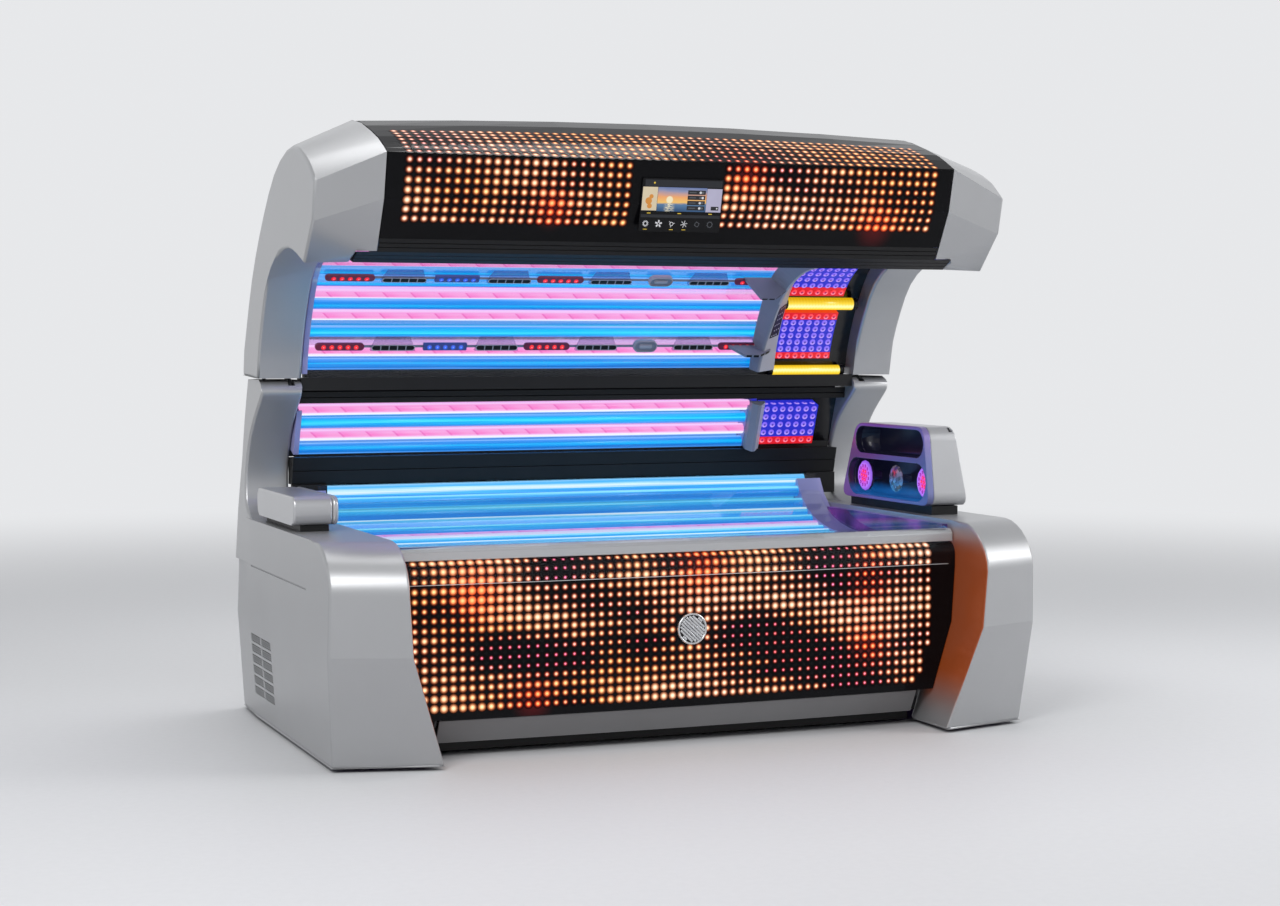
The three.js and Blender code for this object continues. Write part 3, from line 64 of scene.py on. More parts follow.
class Sock:
    """A socket that takes part in plain arithmetic."""

    __add__ = __radd__ = arithmetic("ADD")
    __mul__ = __rmul__ = arithmetic("MULTIPLY")
    __sub__ = arithmetic("SUBTRACT")
    __truediv__ = arithmetic("DIVIDE")
    __pow__ = arithmetic("POWER")
    __abs__ = arithmetic("ABSOLUTE")
    __lt__ = arithmetic("LESS_THAN")
    __gt__ = arithmetic("GREATER_THAN")
    sign = arithmetic("SIGN")
    fraction = arithmetic("FRACT")
    exponent = arithmetic("EXPONENT")

    def __init__(self, graph, socket):
        self.graph = graph
        self.socket = socket

    def math(self, operation, *values):
        return self.graph.node("ShaderNodeMath", dict(enumerate(values)), operation=operation)

    def __rsub__(self, other):
        return self.math("SUBTRACT", other, self)

    def clipped(self):
        return self.math("MAXIMUM", self.math("MINIMUM", self, 1.0), 0.0)


class Graph:
    """A node tree and the one way in which a node is added to it."""

    def __init__(self, tree):
        self.tree = tree

    def node(self, kind, sockets=None, out=0, **settings):
        """Adds a node and gives the output named by out, or a list of them for a tuple."""
        made = self.tree.nodes.new(kind)
        for key, value in settings.items():
            if key == "stops":
                self.stops(made.color_ramp, value)
            else:
                setattr(made, key, value)
        for key, value in (sockets or {}).items():
            if isinstance(value, Sock):
                self.tree.links.new(value.socket, made.inputs[key])
            else:
                made.inputs[key].default_value = value
        if not len(made.outputs):
            return made
        if isinstance(out, tuple):
            return [Sock(self, made.outputs[key]) for key in out]
        return Sock(self, made.outputs[out])

    @staticmethod
    def stops(ramp, stops):
        while len(ramp.elements) < len(stops):
            ramp.elements.new(1.0)
        for element, (position, *colour) in zip(ramp.elements, stops):
            element.position = position
            element.color = (*colour, 1.0)


class Finish(Graph):
    """One material."""

    def __init__(self, name):
        self.material = bpy.data.materials.new(name)
        self.material.use_nodes = True
        super().__init__(self.material.node_tree)
        self.tree.nodes.clear()
        self.spot = self.node("ShaderNodeTexCoord", out="Object")

    def along(self):
        return self.node("ShaderNodeSeparateXYZ", {0: self.spot}, (0, 1, 2))

    def noise(self, scale, detail, stretch=None):
        """Noise over the piece; a stretch sets how fine it is along each axis."""
        spot = self.spot
        if stretch:
            spot = self.node("ShaderNodeMapping", {"Vector": spot, "Scale": stretch})
        return self.node("ShaderNodeTexNoise", {"Vector": spot, "Scale": scale, "Detail": detail})

    def attribute(self, name, out="Fac"):
        return self.node("ShaderNodeAttribute", out=out, attribute_name=name)

    def ramp(self, value, *stops):
        return self.node("ShaderNodeValToRGB", {"Fac": value}, stops=stops)

    def between(self, share, first, second):
        pick = [c if isinstance(c, Sock) else (*c, 1.0) for c in (first, second)]
        return self.node("ShaderNodeMix", {0: share, 6: pick[0], 7: pick[1]}, 2, data_type="RGBA")

    def toned(self, share, tone, low, high=1.0):
        """From a darker to a lighter cast of a tone."""
        return self.between(share, *[[min(1.0, c * level) for c in tone] for level in (low, high)])

    def step(self, value, low, high):
        """A smooth rise from 0 to 1."""
        return self.node(
            "ShaderNodeMapRange", {0: value, 1: low, 2: high, 3: 0.0, 4: 1.0}, interpolation_type="SMOOTHSTEP")

    def fall(self, value, low, high):
        """A smooth fall from 1 to 0."""
        return 1 - self.step(value, low, high)

    def bump(self, height, distance, strength):
        return self.node("ShaderNodeBump", {"Height": height, "Distance": distance, "Strength": strength})

    def skin(self, colour, roughness, glow=None, **sockets):
        """An opaque surface; glow is a colour of light and its strength."""
        names = {"Base Color": colour, "Roughness": roughness}
        if glow:
            names["Emission Color"], names["Emission Strength"] = glow
        names.update({key.replace("_", " ").title().replace("Ior", "IOR"): v for key, v in sockets.items()})
        for key in ("Base Color", "Emission Color"):
            if key in names and not isinstance(names[key], Sock):
                names[key] = (*names[key], 1.0)
        return self.node("ShaderNodeBsdfPrincipled", names)

    def blend(self, share, first, second):
        return self.node("ShaderNodeMixShader", {0: share, 1: first, 2: second})

    def done(self, shader):
        self.node("ShaderNodeOutputMaterial", {"Surface": shader})
        return self.material

    def solid(self, colour, roughness, glow=None, **sockets):
        return self.done(self.skin(colour, roughness, glow, **sockets))


# Finishes

BLACK = (0.0, 0.0, 0.0)
BRUSH_LINES = (6.0, 900.0, 900.0)


def distance(a, b):
    """How far a place lies from a middle, by its two offsets."""
    return (a * a + b * b) ** 0.5


def flank_light(f, drift):
    """The light of the lit front on a pod: only on its inner flank, beside the panel."""
    x, y, z = f.along()
    beside = f.fall(abs(x), 0.974, 0.99) * f.fall(y, -0.5, -0.42) * f.step(z, 0.03, 0.2) * f.fall(z, 0.56, 0.68)
    facing = f.node("ShaderNodeSeparateXYZ", {0: f.node("ShaderNodeNewGeometry", out="Normal")})
    return beside * (0.75 + drift * 0.5) * f.step(0 - facing * x.sign(), 0.3, 0.7)


def lacquer(name, tone, roughness, painted_front_light=False):
    """Metallic lacquer on a moulding: fine flake, a slow drift of tone and a thin clear coat; on the pods, painted
    orange light on the inner flank beside the lit front.
    """
    f = Finish(name)
    flake = f.noise(2600.0, 1.0)
    drift = f.noise(2.4, 3.0)
    peel = f.noise(210.0, 1.0)
    colour = f.toned((drift * 0.6 + flake * 0.4 - 0.28) * 2.2, tone, 0.94, 1.05)
    glow = None
    # painted light: an orange tint and glow on the pod's inner flank stand for the light of the lit front panel
    if painted_front_light:
        flank = flank_light(f, drift)
        colour = f.between(flank * 0.92, colour, (0.22, 0.055, 0.015))
        glow = f.between(flank, BLACK, (0.13, 0.02, 0.0)), 1.0
    return f.solid(
        colour, roughness + flake * 0.07 + drift * 0.04, glow, metallic=0.55, coat_weight=0.2, coat_roughness=0.16,
        normal=f.bump(peel * 0.7 + flake * 0.3, 0.00012, 0.5))


def gloss_black(name, spots=()):
    """Deep black acrylic with faint wiping marks in its shine and a red glow round its brightest lights."""
    f = Finish(name)
    x, _, z = f.along()
    wipe = f.noise(5.0, 4.0, (0.6, 2.0, 2.4))
    colour = f.between(wipe, (0.003, 0.003, 0.0035), (0.006, 0.006, 0.0075))
    near = sum(f.fall(distance(x - u, z - v), 0.0, reach * 0.6) for u, v, reach in spots)
    glow = (f.between(near, BLACK, (0.07, 0.003, 0.004)), 1.0) if spots else None
    return f.solid(
        colour, 0.05 + wipe * 0.08, glow, specular_ior_level=0.1 if spots else 0.2,
        normal=f.bump(f.noise(9.0, 1.0), 0.0006, 0.2))


def satin_black(name, tone):
    """Moulded or extruded black with a fine grain."""
    f = Finish(name)
    grain = f.noise(1500.0, 2.0)
    drift = f.noise(6.0, 2.0)
    colour = f.between(drift, (tone * 0.8, tone * 0.8, tone * 0.86), (tone * 1.3, tone * 1.3, tone * 1.36))
    return f.solid(colour, 0.36 + grain * 0.14, specular_ior_level=0.25, normal=f.bump(grain, 0.00025, 0.6))


def brushed(name, tone, roughness, metallic):
    """Metal with fine lines along the bed."""
    f = Finish(name)
    lines = f.noise(1.0, 3.0, BRUSH_LINES)
    colour = f.toned(lines * 0.7 + f.noise(3.0, 2.0) * 0.3, tone, 0.88, 1.06)
    return f.solid(colour, roughness + lines * 0.14, metallic=metallic, normal=f.bump(lines, 0.00012, 0.35))


def rolled_reflector():
    """Bright rolled sheet behind the lamps, black beyond the dividers at the head end."""
    f = Finish("rolled_reflector")
    x, _, z = f.along()
    lines = f.noise(1.0, 3.0, BRUSH_LINES)
    dark = f.step(x, 0.6945, 0.6965) * (z > 0.86)
    colour = f.between(dark, f.between(lines, (0.7, 0.72, 0.78), (0.85, 0.87, 0.93)), (0.004, 0.004, 0.006))
    return f.solid(colour, 0.13 + lines * 0.14, metallic=0.85 - dark * 0.85, normal=f.bump(lines, 0.00012, 0.35))


def painted(name, tone, roughness, metallic=0.0):
    """Sprayed or moulded surface with a slight orange peel."""
    f = Finish(name)
    peel = f.noise(330.0, 2.0)
    colour = f.toned(f.noise(4.0, 3.0), tone, 0.9, 1.07)
    return f.solid(colour, roughness - 0.05 + peel * 0.1, metallic=metallic, normal=f.bump(peel, 0.0002, 0.45))


def clear_acrylic(name, share, lip_share, low_edge):
    """Clear bent sheet: see-through head on, glossy at a low angle, milky along its cut lower edge."""
    f = Finish(name)
    _, _, height = f.along()
    ripple = f.bump(f.noise(3.0, 1.0), 0.003, 0.15)
    fresnel = f.node("ShaderNodeFresnel", {"IOR": 1.47, "Normal": ripple})
    through = f.node("ShaderNodeBsdfTransparent", {"Color": (0.975, 0.985, 1.0, 1.0)})
    shine = f.node("ShaderNodeBsdfGlossy", {"Color": (1.0, 1.0, 1.0, 1.0), "Roughness": 0.03, "Normal": ripple})
    gloss = lip_share + f.step(height, 0.60, 0.66) * (share - lip_share)
    sheet = f.blend(fresnel * gloss + f.noise(7.0, 3.0) * 0.006, through, shine)
    return f.done(f.blend(height < low_edge, sheet, f.skin((0.6, 0.61, 0.62), 0.35)))


def smoked_clear():
    """Clear plastic housing with a grey cast: part see-through, part glossy."""
    f = Finish("vent_clear")
    film = f.noise(60.0, 2.0)
    through = f.node("ShaderNodeBsdfTransparent", {"Color": (0.86, 0.84, 0.92, 1.0)})
    shell = f.skin(f.toned(film, (0.3, 0.28, 0.36), 0.85), 0.12, specular_ior_level=0.6)
    return f.done(f.blend(0.14 + film * 0.08, through, shell))


def crystal():
    """Cut lens, lit blue from below and red near its top."""
    f = Finish("crystal_lens")
    x, y, z = f.along()
    facet = f.node("ShaderNodeTexVoronoi", {"Vector": f.spot, "Scale": 75.0}, "Color")
    shade = f.node("ShaderNodeSeparateXYZ", {0: facet})
    cast = f.ramp(
        (z - 0.73) / 0.093, (0.0, 0.1, 0.5, 1.0), (0.38, 0.12, 0.4, 0.95), (0.58, 0.25, 0.2, 0.42),
        (1.0, 0.42, 0.32, 0.42))
    red = f.fall(distance(y - 0.026, z - 0.8), 0.004, 0.022)
    colour = f.between(red * 0.9, cast, (1.0, 0.03, 0.12))
    light = f.between(shade * f.fall(x, 1.022, 1.03) * 0.6, (0.004, 0.006, 0.02), colour)
    return f.solid((0.03, 0.03, 0.04), 0.06, (light, 0.9), coat_weight=0.5, normal=f.bump(shade, 0.004, 0.7))


def lamp_glass():
    """Lit lamp tubes: pink with slanted dimples, blue, cyan or pale with streaks; paler along their top edges and
    white along pink's lower edge, both painted highlights.
    """
    f = Finish("lamp_glass")
    x, _, _ = f.along()
    turn = f.attribute("turn")
    kind = f.attribute("kind")
    fine = f.noise(1.0, 2.0, (1.6, 260.0, 260.0))
    drift = (f.noise(1.0, 3.0, (0.9, 80.0, 80.0)) - 0.5) * 0.44 + (fine - 0.5) * 0.36
    phase = (x / 0.095 - (turn - 0.5) * 0.42).fraction()
    middle = f.step(turn, 0.22, 0.3) * f.fall(turn, 0.7, 0.78)
    # painted highlights: the paler top edge of each kind and the white band near pink's lower edge
    pink = f.ramp(
        turn + (fine - 0.5) * 0.12, (0.0, 0.9, 0.5, 0.95), (0.1, 1.0, 0.62, 0.93), (0.26, 1.0, 0.3, 0.7),
        (0.6, 1.0, 0.2, 0.58), (0.74, 1.0, 0.42, 0.82), (0.82, 1.0, 0.9, 1.0), (0.94, 0.96, 0.96, 1.0),
        (1.0, 0.6, 0.72, 1.0))
    pink = f.between(f.step(phase, 0.05, 0.75) * middle * 0.3, pink, (1.0, 0.6, 0.88))
    pink = f.between(f.fall(phase, 0.03, 0.11) * middle * 0.6, pink, (0.82, 0.1, 0.44))
    blue = f.ramp(
        turn + drift, (0.0, 0.22, 0.5, 1.0), (0.16, 0.02, 0.3, 0.9), (0.34, 0.0, 0.24, 0.8),
        (0.5, 0.0, 0.5, 1.0), (0.64, 0.0, 0.26, 0.82), (0.85, 0.0, 0.16, 0.62), (1.0, 0.08, 0.34, 0.9))
    cyan = f.ramp(
        turn + drift, (0.0, 0.25, 0.5, 1.0), (0.16, 0.0, 0.34, 0.92), (0.38, 0.0, 0.6, 1.0),
        (0.56, 0.05, 0.78, 1.0), (0.74, 0.0, 0.42, 0.95), (1.0, 0.02, 0.2, 0.72))
    pale = f.ramp(
        turn + drift, (0.0, 0.3, 0.66, 1.0), (0.25, 0.06, 0.5, 1.0), (0.45, 0.5, 0.86, 1.0),
        (0.6, 0.85, 0.97, 1.0), (0.75, 0.1, 0.6, 1.0), (1.0, 0.02, 0.3, 0.9))
    cool = f.between((kind - 1).clipped(), blue, f.between((kind - 2).clipped(), cyan, pale))
    colour = f.between(kind.clipped(), pink, cool)
    return f.solid((0.02, 0.02, 0.03), 0.25, (colour, 1.0), specular_ior_level=0.3)


def yellow_glass():
    """Short yellow tubes: pale along the middle, deep at the edges, with faint rings."""
    f = Finish("yellow_glass")
    x, _, _ = f.along()
    ring = (x / 0.012).fraction()
    colour = f.ramp(
        f.attribute("turn") + (ring - 0.5) * 0.06, (0.0, 0.62, 0.36, 0.0), (0.3, 0.95, 0.68, 0.05),
        (0.52, 1.0, 0.95, 0.45), (0.75, 1.0, 0.72, 0.06), (1.0, 0.75, 0.42, 0.0))
    return f.solid((0.03, 0.02, 0.0), 0.25, (colour, 1.1))


def light_dot():
    """Dots of light behind black acrylic: large and cream, amber, small and rosy, or glowing orange."""
    f = Finish("light_dot")
    rim, burn, ember, amber = [f.attribute(name) for name in ("rim", "burn", "ember", "amber")]
    reach = rim / (0.19 + burn * 0.29 + ember * 0.06)
    spread = reach * reach
    red, green, blue = [(0 - spread * narrow).exponent() for narrow in (0.72 - ember * 0.25, 1.0, 1.16)]
    cream = f.ramp(
        burn, (0.0, 0.85, 0.22, 0.62), (0.16, 1.0, 0.45, 0.6), (0.34, 1.0, 0.6, 0.52),
        (0.6, 0.95, 0.66, 0.5), (1.0, 0.88, 0.68, 0.54))
    warm = f.ramp(
        burn, (0.0, 0.95, 0.2, 0.25), (0.2, 1.0, 0.46, 0.22), (0.5, 1.0, 0.55, 0.22), (1.0, 0.95, 0.6, 0.34))
    tone = f.between(ember, f.between(amber, cream, warm), (1.0, 0.36, 0.12))
    bells = f.node("ShaderNodeCombineXYZ", {0: red, 1: green, 2: blue})
    light = f.node("ShaderNodeVectorMath", {0: bells, 1: tone}, operation="MULTIPLY")
    shown = f.between(f.step(rim, 0.8, 1.0), light, BLACK)
    return f.solid((0.003, 0.003, 0.004), 0.1, (shown, 2.1), specular_ior_level=0.06)


def light_board():
    """Head light: blue translucent board with a red band along some edges."""
    f = Finish("head_light_board")
    _, _, height = f.along()
    haze = f.noise(60.0, 2.0)
    red_bands = (1.3331, 1.4465), (1.18, 1.2173), (0.0, 0.9095)
    band = sum((height > low) * (height < high) for low, high in red_bands)
    blue = f.between(haze, (0.012, 0.016, 0.5), (0.03, 0.04, 0.82))
    red = f.between(haze, (0.75, 0.004, 0.004), (1.0, 0.012, 0.006))
    return f.solid((0.01, 0.01, 0.03), 0.3, (f.between(band.clipped(), blue, red), 0.85))


def light_bead():
    """Small lens lights: a dark heart, a soft ring and a light crescent on the lower side, a painted highlight; each
    has its own colour.
    """
    f = Finish("light_bead")
    rim = f.attribute("rim")
    ring = f.step(rim, 0.3, 0.55) * f.fall(rim, 0.75, 1.0)
    # painted highlight: the pale crescent on the lower side of each lens
    crescent = ring * f.fall(f.attribute("side"), -0.5, 0.1)
    light = f.between(ring * 0.06, f.attribute("tint", "Color"), (1.0, 0.6, 0.9))
    light = f.between(crescent * 0.35, light, (1.0, 0.7, 1.0))
    light = f.between(f.fall(rim, 0.15, 0.45) * 0.8, light, (0.02, 0.0, 0.12))
    return f.solid((0.02, 0.02, 0.03), 0.12, (light, 1.0), coat_weight=0.4)


def module_light():
    """Lens lights of the modules: a light core in a bright ring of their own colour."""
    f = Finish("module_light")
    rim = f.attribute("rim")
    tint = f.attribute("tint", "Color")
    pale = f.between(0.35, tint, (1.0, 0.9, 1.0))
    light = f.between(f.fall(rim, 0.05, 0.4) * 0.8, tint, pale)
    light = f.between(f.step(rim, 0.7, 1.0) * 0.7, light, (0.04, 0.0, 0.03))
    return f.solid((0.02, 0.01, 0.01), 0.12, (light, 1.1), coat_weight=0.4)


def circuit_green():
    """Solder mask with a grid of tracks."""
    f = Finish("circuit_green")
    x, _, z = f.along()
    track = sum(f.step(abs((a / 0.014).fraction() - 0.5), 0.42, 0.46) for a in (x, z))
    return f.solid(f.between(track.clipped(), (0.02, 0.09, 0.045), (0.04, 0.17, 0.08)), 0.4)


def screen_picture():
    """A sunrise over the sea in the middle of the display."""
    f = Finish("screen_picture")
    x, _, z = f.along()
    ripple = f.noise(1.0, 2.0, (120.0, 40.0, 900.0))
    cloud = f.noise(1.0, 3.0, (22.0, 10.0, 90.0))
    height = (z - 1.662) / 0.073
    sky = f.ramp(
        height + (cloud - 0.5) * 0.16, (0.0, 0.02, 0.08, 0.2), (0.3, 0.1, 0.22, 0.4), (0.36, 1.0, 0.6, 0.16),
        (0.6, 0.95, 0.42, 0.16), (0.85, 0.3, 0.32, 0.5), (1.0, 0.14, 0.2, 0.42))
    sun = f.fall(distance(x + 0.042, z - 1.697), 0.009, 0.013) * f.step(height, 0.33, 0.35)
    glint = f.fall(abs(x + 0.042), 0.004, 0.022) * (height < 0.33) * f.step(ripple, 0.42, 0.6)
    return f.solid(BLACK, 0.1, (f.between((sun + glint).clipped(), sky, (1.0, 0.9, 0.6)), 0.85))


def lit(name, tone):
    """Even screen light with a faint drift."""
    f = Finish(name)
    return f.solid(BLACK, 0.12, (f.toned(f.noise(30.0, 1.0), tone, 0.85), 0.8))


def ribbed_steel():
    """Bright turned steel with fine ribs across it."""
    f = Finish("ribbed_steel")
    x, _, z = f.along()
    rib = ((x + z) / 0.0026).fraction()
    drift = f.noise(18.0, 2.0)
    colour = f.between(rib * 0.6 + drift * 0.4, (0.42, 0.43, 0.45), (0.78, 0.79, 0.8))
    return f.solid(colour, 0.22 + drift * 0.1, metallic=0.85, normal=f.bump(abs(rib - 0.5), 0.0006, 0.6))


def console_lining():
    """Black lining of the console's slots, lit blue along the floor of the lower one."""
    f = Finish("console_lining")
    _, _, z = f.along()
    low = f.fall(z + (f.noise(26.0, 2.0) - 0.5) * 0.012, 0.722, 0.756)
    floor = f.between(f.noise(1.0, 2.0, (90.0, 14.0, 40.0)), (0.0, 0.03, 0.14), (0.01, 0.12, 0.4))
    return f.solid((0.006, 0.006, 0.009), 0.3, (f.between(low, (0.002, 0.002, 0.008), floor), 0.9))


def console_face_lacquer():
    """Silver lacquer of the console's face, tinted by its lights: violet in front, magenta to the rear and top."""
    f = Finish("console_face_silver")
    _, y, z = f.along()
    flake = f.noise(2600.0, 1.0)
    share = (y + 0.27) / 0.62 + (z - 0.83) * 1.6 + (f.noise(7.0, 2.0) - 0.5) * 0.3
    colour = f.ramp(
        share + (flake - 0.5) * 0.1, (0.0, 0.2, 0.22, 0.46), (0.4, 0.3, 0.2, 0.5), (0.75, 0.42, 0.14, 0.42),
        (1.0, 0.5, 0.2, 0.46))
    return f.solid(
        colour, 0.3 + flake * 0.06, metallic=0.45, coat_weight=0.2, coat_roughness=0.16,
        normal=f.bump(flake, 0.00012, 0.4))


def console_glow():
    """Round console lights: magenta in the middle, violet towards the rim."""
    f = Finish("console_glow")
    x, y, z = f.along()
    away = distance(abs(y - 0.0293) - 0.2186, z - 0.776)
    colour = f.ramp(
        away / 0.056 + (f.noise(40.0, 2.0) - 0.5) * 0.12, (0.0, 1.0, 0.03, 0.3), (0.35, 0.75, 0.05, 0.6),
        (0.75, 0.5, 0.18, 1.0), (0.95, 0.25, 0.1, 0.75))
    light = f.between(f.step(x, 1.0085, 1.012), colour, (0.004, 0.002, 0.012))
    return f.solid((0.02, 0.01, 0.03), 0.2, (light, 0.95))


def end_shelf():
    """Dark glossy shelf at the ends of the bench with painted violet light in soft patches."""
    f = Finish("end_shelf")
    haze = f.noise(1.0, 3.0, (26.0, 7.0, 9.0))
    # painted light: a violet glow in noise patches, though the shelf is no lamp
    light = f.ramp(haze, (0.3, 0.008, 0.004, 0.03), (0.5, 0.05, 0.015, 0.14), (0.7, 0.14, 0.03, 0.26))
    return f.solid((0.01, 0.007, 0.02), 0.06, (light, 0.9), specular_ior_level=0.6)


# Hot spots among the light dots: place along the bed, height and reach
HOT_FRONT = ((-0.70, 0.50, 0.16), (0.03, 0.56, 0.15), (0.62, 0.50, 0.15), (0.62, 0.27, 0.14), (-0.52, 0.165, 0.13))
HOT_CANOPY = ((0.70, 1.625, 0.14), (-0.42, 1.66, 0.12), (0.22, 1.78, 0.12))

SILVER_TONE = (0.43, 0.435, 0.445)
SILVER = lacquer("silver_lacquer", SILVER_TONE, 0.31)
POD_SILVER = lacquer("pod_lacquer", SILVER_TONE, 0.31, True)
CONSOLE_SILVER = lacquer("console_silver", (0.5, 0.505, 0.52), 0.27)
FACE_SILVER = console_face_lacquer()
GLOSS = gloss_black("gloss_black")
FRONT_GLOSS = gloss_black("front_gloss_black", HOT_FRONT)
CANOPY_GLOSS = gloss_black("canopy_gloss_black", HOT_CANOPY)
SATIN = satin_black("satin_black", 0.009)
PIT = satin_black("slot_black", 0.004)
TRIM = brushed("anodised_trim", (0.56, 0.555, 0.54), 0.33, 0.3)
STEEL = brushed("bright_steel", (0.62, 0.63, 0.64), 0.15, 0.9)
REFLECTOR = rolled_reflector()
KICK = painted("kick_paint", (0.2, 0.2, 0.205), 0.42, 0.1)
DIVIDER = painted("divider_grey", (0.24, 0.255, 0.32), 0.4)
# paler grey: painted light on the dividers' flank beyond the crest, and the grille's cells
PALE_GREY = painted("divider_pale_grey", (0.46, 0.46, 0.5), 0.4)
FRAME_GREY = painted("vent_grey", (0.42, 0.42, 0.47), 0.4)
VENT_CLEAR = smoked_clear()
# painted shade: the dark violet of the strip under the acrylic's front bend
VIOLET_SHADE_PAINT = painted("painted_violet_shade", (0.03, 0.018, 0.07), 0.3)
SHELF = end_shelf()
HOLDER = painted("holder_plastic", (0.36, 0.36, 0.66), 0.4)
MODULE_RED = painted("module_red_plastic", (0.2, 0.012, 0.05), 0.3)
MODULE_BLUE = painted("module_blue_plastic", (0.06, 0.09, 0.34), 0.35)
FRAME_PAINT = painted("frame_powder_coat", (0.04, 0.043, 0.047), 0.55)
RUBBER = satin_black("foot_rubber", 0.02)
ACRYLIC = clear_acrylic("clear_acrylic", 0.25, 0.08, 0.5332)
COVER = clear_acrylic("clear_cover", 0.2, 0.2, 0.0)
CRYSTAL = crystal()
LAMP = lamp_glass()
YELLOW = yellow_glass()
LIGHT_DOT = light_dot()
BOARD = light_board()
BEAD = light_bead()
MODULE_LIGHT = module_light()
CIRCUIT = circuit_green()
RIBBED = ribbed_steel()
LINING = console_lining()
GLOW = console_glow()
BEZEL = gloss_black("display_bezel")
SCREEN_DARK = lit("screen_dark", (0.012, 0.014, 0.02))
PICTURE = screen_picture()
CREAM = lit("screen_cream", (0.85, 0.72, 0.5))
ORANGE = lit("screen_orange", (0.8, 0.32, 0.05))
LILAC = lit("screen_lilac", (0.55, 0.53, 0.72))
WHITE = lit("screen_white", (0.85, 0.86, 0.9))
YELLOW_MARK = lit("screen_yellow", (0.9, 0.62, 0.05))
GREY_MARK = lit("screen_grey", (0.12, 0.13, 0.15))

finish_of_slot = {
    "silver_shell": SILVER, "gloss_black": GLOSS, "satin_black": SATIN, "trim_silver": TRIM, "kick_grey": KICK,
    "bright_steel": STEEL, "clear_acrylic": ACRYLIC, "crystal": CRYSTAL, "reflector_sheet": REFLECTOR,
    "lamp_tube": LAMP, "yellow_tube": YELLOW, "head_light": BOARD, "console_light": BOARD, "divider_grey": DIVIDER,
    "circuit_board": CIRCUIT, "frame_steel": FRAME_PAINT, "foot_rubber": RUBBER,
}
finish_of_node = {
    "front_panel": FRONT_GLOSS, "canopy_fascia": CANOPY_GLOSS, "canopy_cover": COVER, "wall_cover": COVER,
    "control_display": BEZEL, "console_light_rear": GLOW, "console_light_front": GLOW,
}
for node, thing in nodes.items():
    thing.data.materials.clear()
    thing.data.materials.append(finish_of_node.get(node, finish_of_slot[slot_of_node[node]]))


# Meshes

THIN_FACE = 0.0085
LONG_FACE = 0.15
ROUNDING_TRIES = 20
ROUNDING_ROOM = 2.5


def linked(name, data):
    """A new object in the scene."""
    thing = bpy.data.objects.new(name, data)
    bpy.context.scene.collection.objects.link(thing)
    return thing


def keep(name, mesh, body, slot, material, *replaced):
    """A finished piece that rides on a body."""
    thing = linked(name, mesh)
    if material is not None:
        mesh.materials.clear()
        mesh.materials.append(material)
    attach(thing, body)
    if replaced:
        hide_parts(*replaced)
    return thing


def merged(node):
    """An editable copy of a CAD node with its doubles merged."""
    work = bmesh.new()
    work.from_mesh(nodes[node].data)
    bmesh.ops.remove_doubles(work, verts=work.verts, dist=2e-5)
    return work


def mesh_of(work, name):
    """The mesh that an editable copy has become."""
    mesh = bpy.data.meshes.new(name)
    work.to_mesh(mesh)
    work.free()
    return mesh


def thin(face):
    return face.calc_area() / max(edge.calc_length() for edge in face.edges) < THIN_FACE


def baked(thing):
    """The mesh that an object's modifiers make, as a plain mesh."""
    bpy.context.view_layer.update()
    graph = bpy.context.evaluated_depsgraph_get()
    return bpy.data.meshes.new_from_object(thing.evaluated_get(graph), depsgraph=graph)


def folds(mesh):
    """The faces of a mesh that lie over themselves: for each patch, the corners that are turned over."""
    mesh.calc_loop_triangles()
    patch = mesh.attributes["patch"].data
    turned = {}
    for corner in mesh.loop_triangles:
        face = mesh.polygons[corner.polygon_index]
        if corner.area > 1e-6 and corner.normal.dot(face.normal) < 0.3:
            turned.setdefault(patch[face.index].value, []).extend(mesh.vertices[i].co for i in corner.vertices)
    return turned


def gap(point, mesh, index):
    """How far a point lies from an edge of a mesh."""
    first, last = [mesh.vertices[i].co for i in mesh.edges[index].vertices]
    run = last - first
    share = max(0.0, min(1.0, (point - first).dot(run) / run.length_squared))
    return (point - first - run * share).length


def dressed(node, material, radius, angle=38.0, segments=3):
    """Stands for a CAD node: the same form with its outer edges rounded and its curves smooth.

    Where a rounding has no room, the edges beside it stay sharp."""
    work = merged(node)
    bmesh.ops.dissolve_limit(work, angle_limit=math.radians(0.4), verts=work.verts, edges=work.edges)
    layer = work.faces.layers.int.new("patch")
    work.faces.index_update()
    work.edges.index_update()
    sharp = math.radians(angle)
    round_edges = {
        edge.index for edge in work.edges
        if len(edge.link_faces) == 2 and not any(thin(face) for face in edge.link_faces)
        and edge.calc_face_angle_signed() > sharp}
    around = {}
    for face in work.faces:
        face[layer] = face.index
        own = {edge.index for edge in face.edges}
        around[face.index] = own, own | {edge.index for vert in face.verts for edge in vert.link_edges}
    mesh = mesh_of(work, f"{node}_dressed")
    mesh.shade_smooth()
    mesh.attributes.new("bevel_weight_edge", "FLOAT", "EDGE")
    mesh.set_sharp_from_angle(angle=sharp)
    thing = linked(f"{node}_rough", mesh)
    bevel = thing.modifiers.new("rounding", "BEVEL")
    bevel.limit_method = "WEIGHT"
    bevel.width = radius
    bevel.segments = segments
    bevel.use_clamp_overlap = False
    bevel.miter_outer = "MITER_ARC"
    thing.modifiers.new("even", "WEIGHTED_NORMAL").keep_sharp = True
    for _ in range(ROUNDING_TRIES):
        for index, edge in enumerate(mesh.attributes["bevel_weight_edge"].data):
            edge.value = float(index in round_edges)
        mesh.update()
        final = baked(thing)
        turned = folds(final)
        if not turned:
            break
        for patch, corners in turned.items():
            own, near = around[patch]
            tight = {
                i for i in near & round_edges
                if any(gap(place, mesh, i) < radius * ROUNDING_ROOM for place in corners)}
            round_edges -= tight or own & round_edges or near
    bpy.data.objects.remove(thing)
    final.attributes.remove(final.attributes["patch"])
    final.name = f"{node}_dressed"
    return keep(f"{node}_dressed", final, body_of_node[node], slot_of_node[node], material, node)


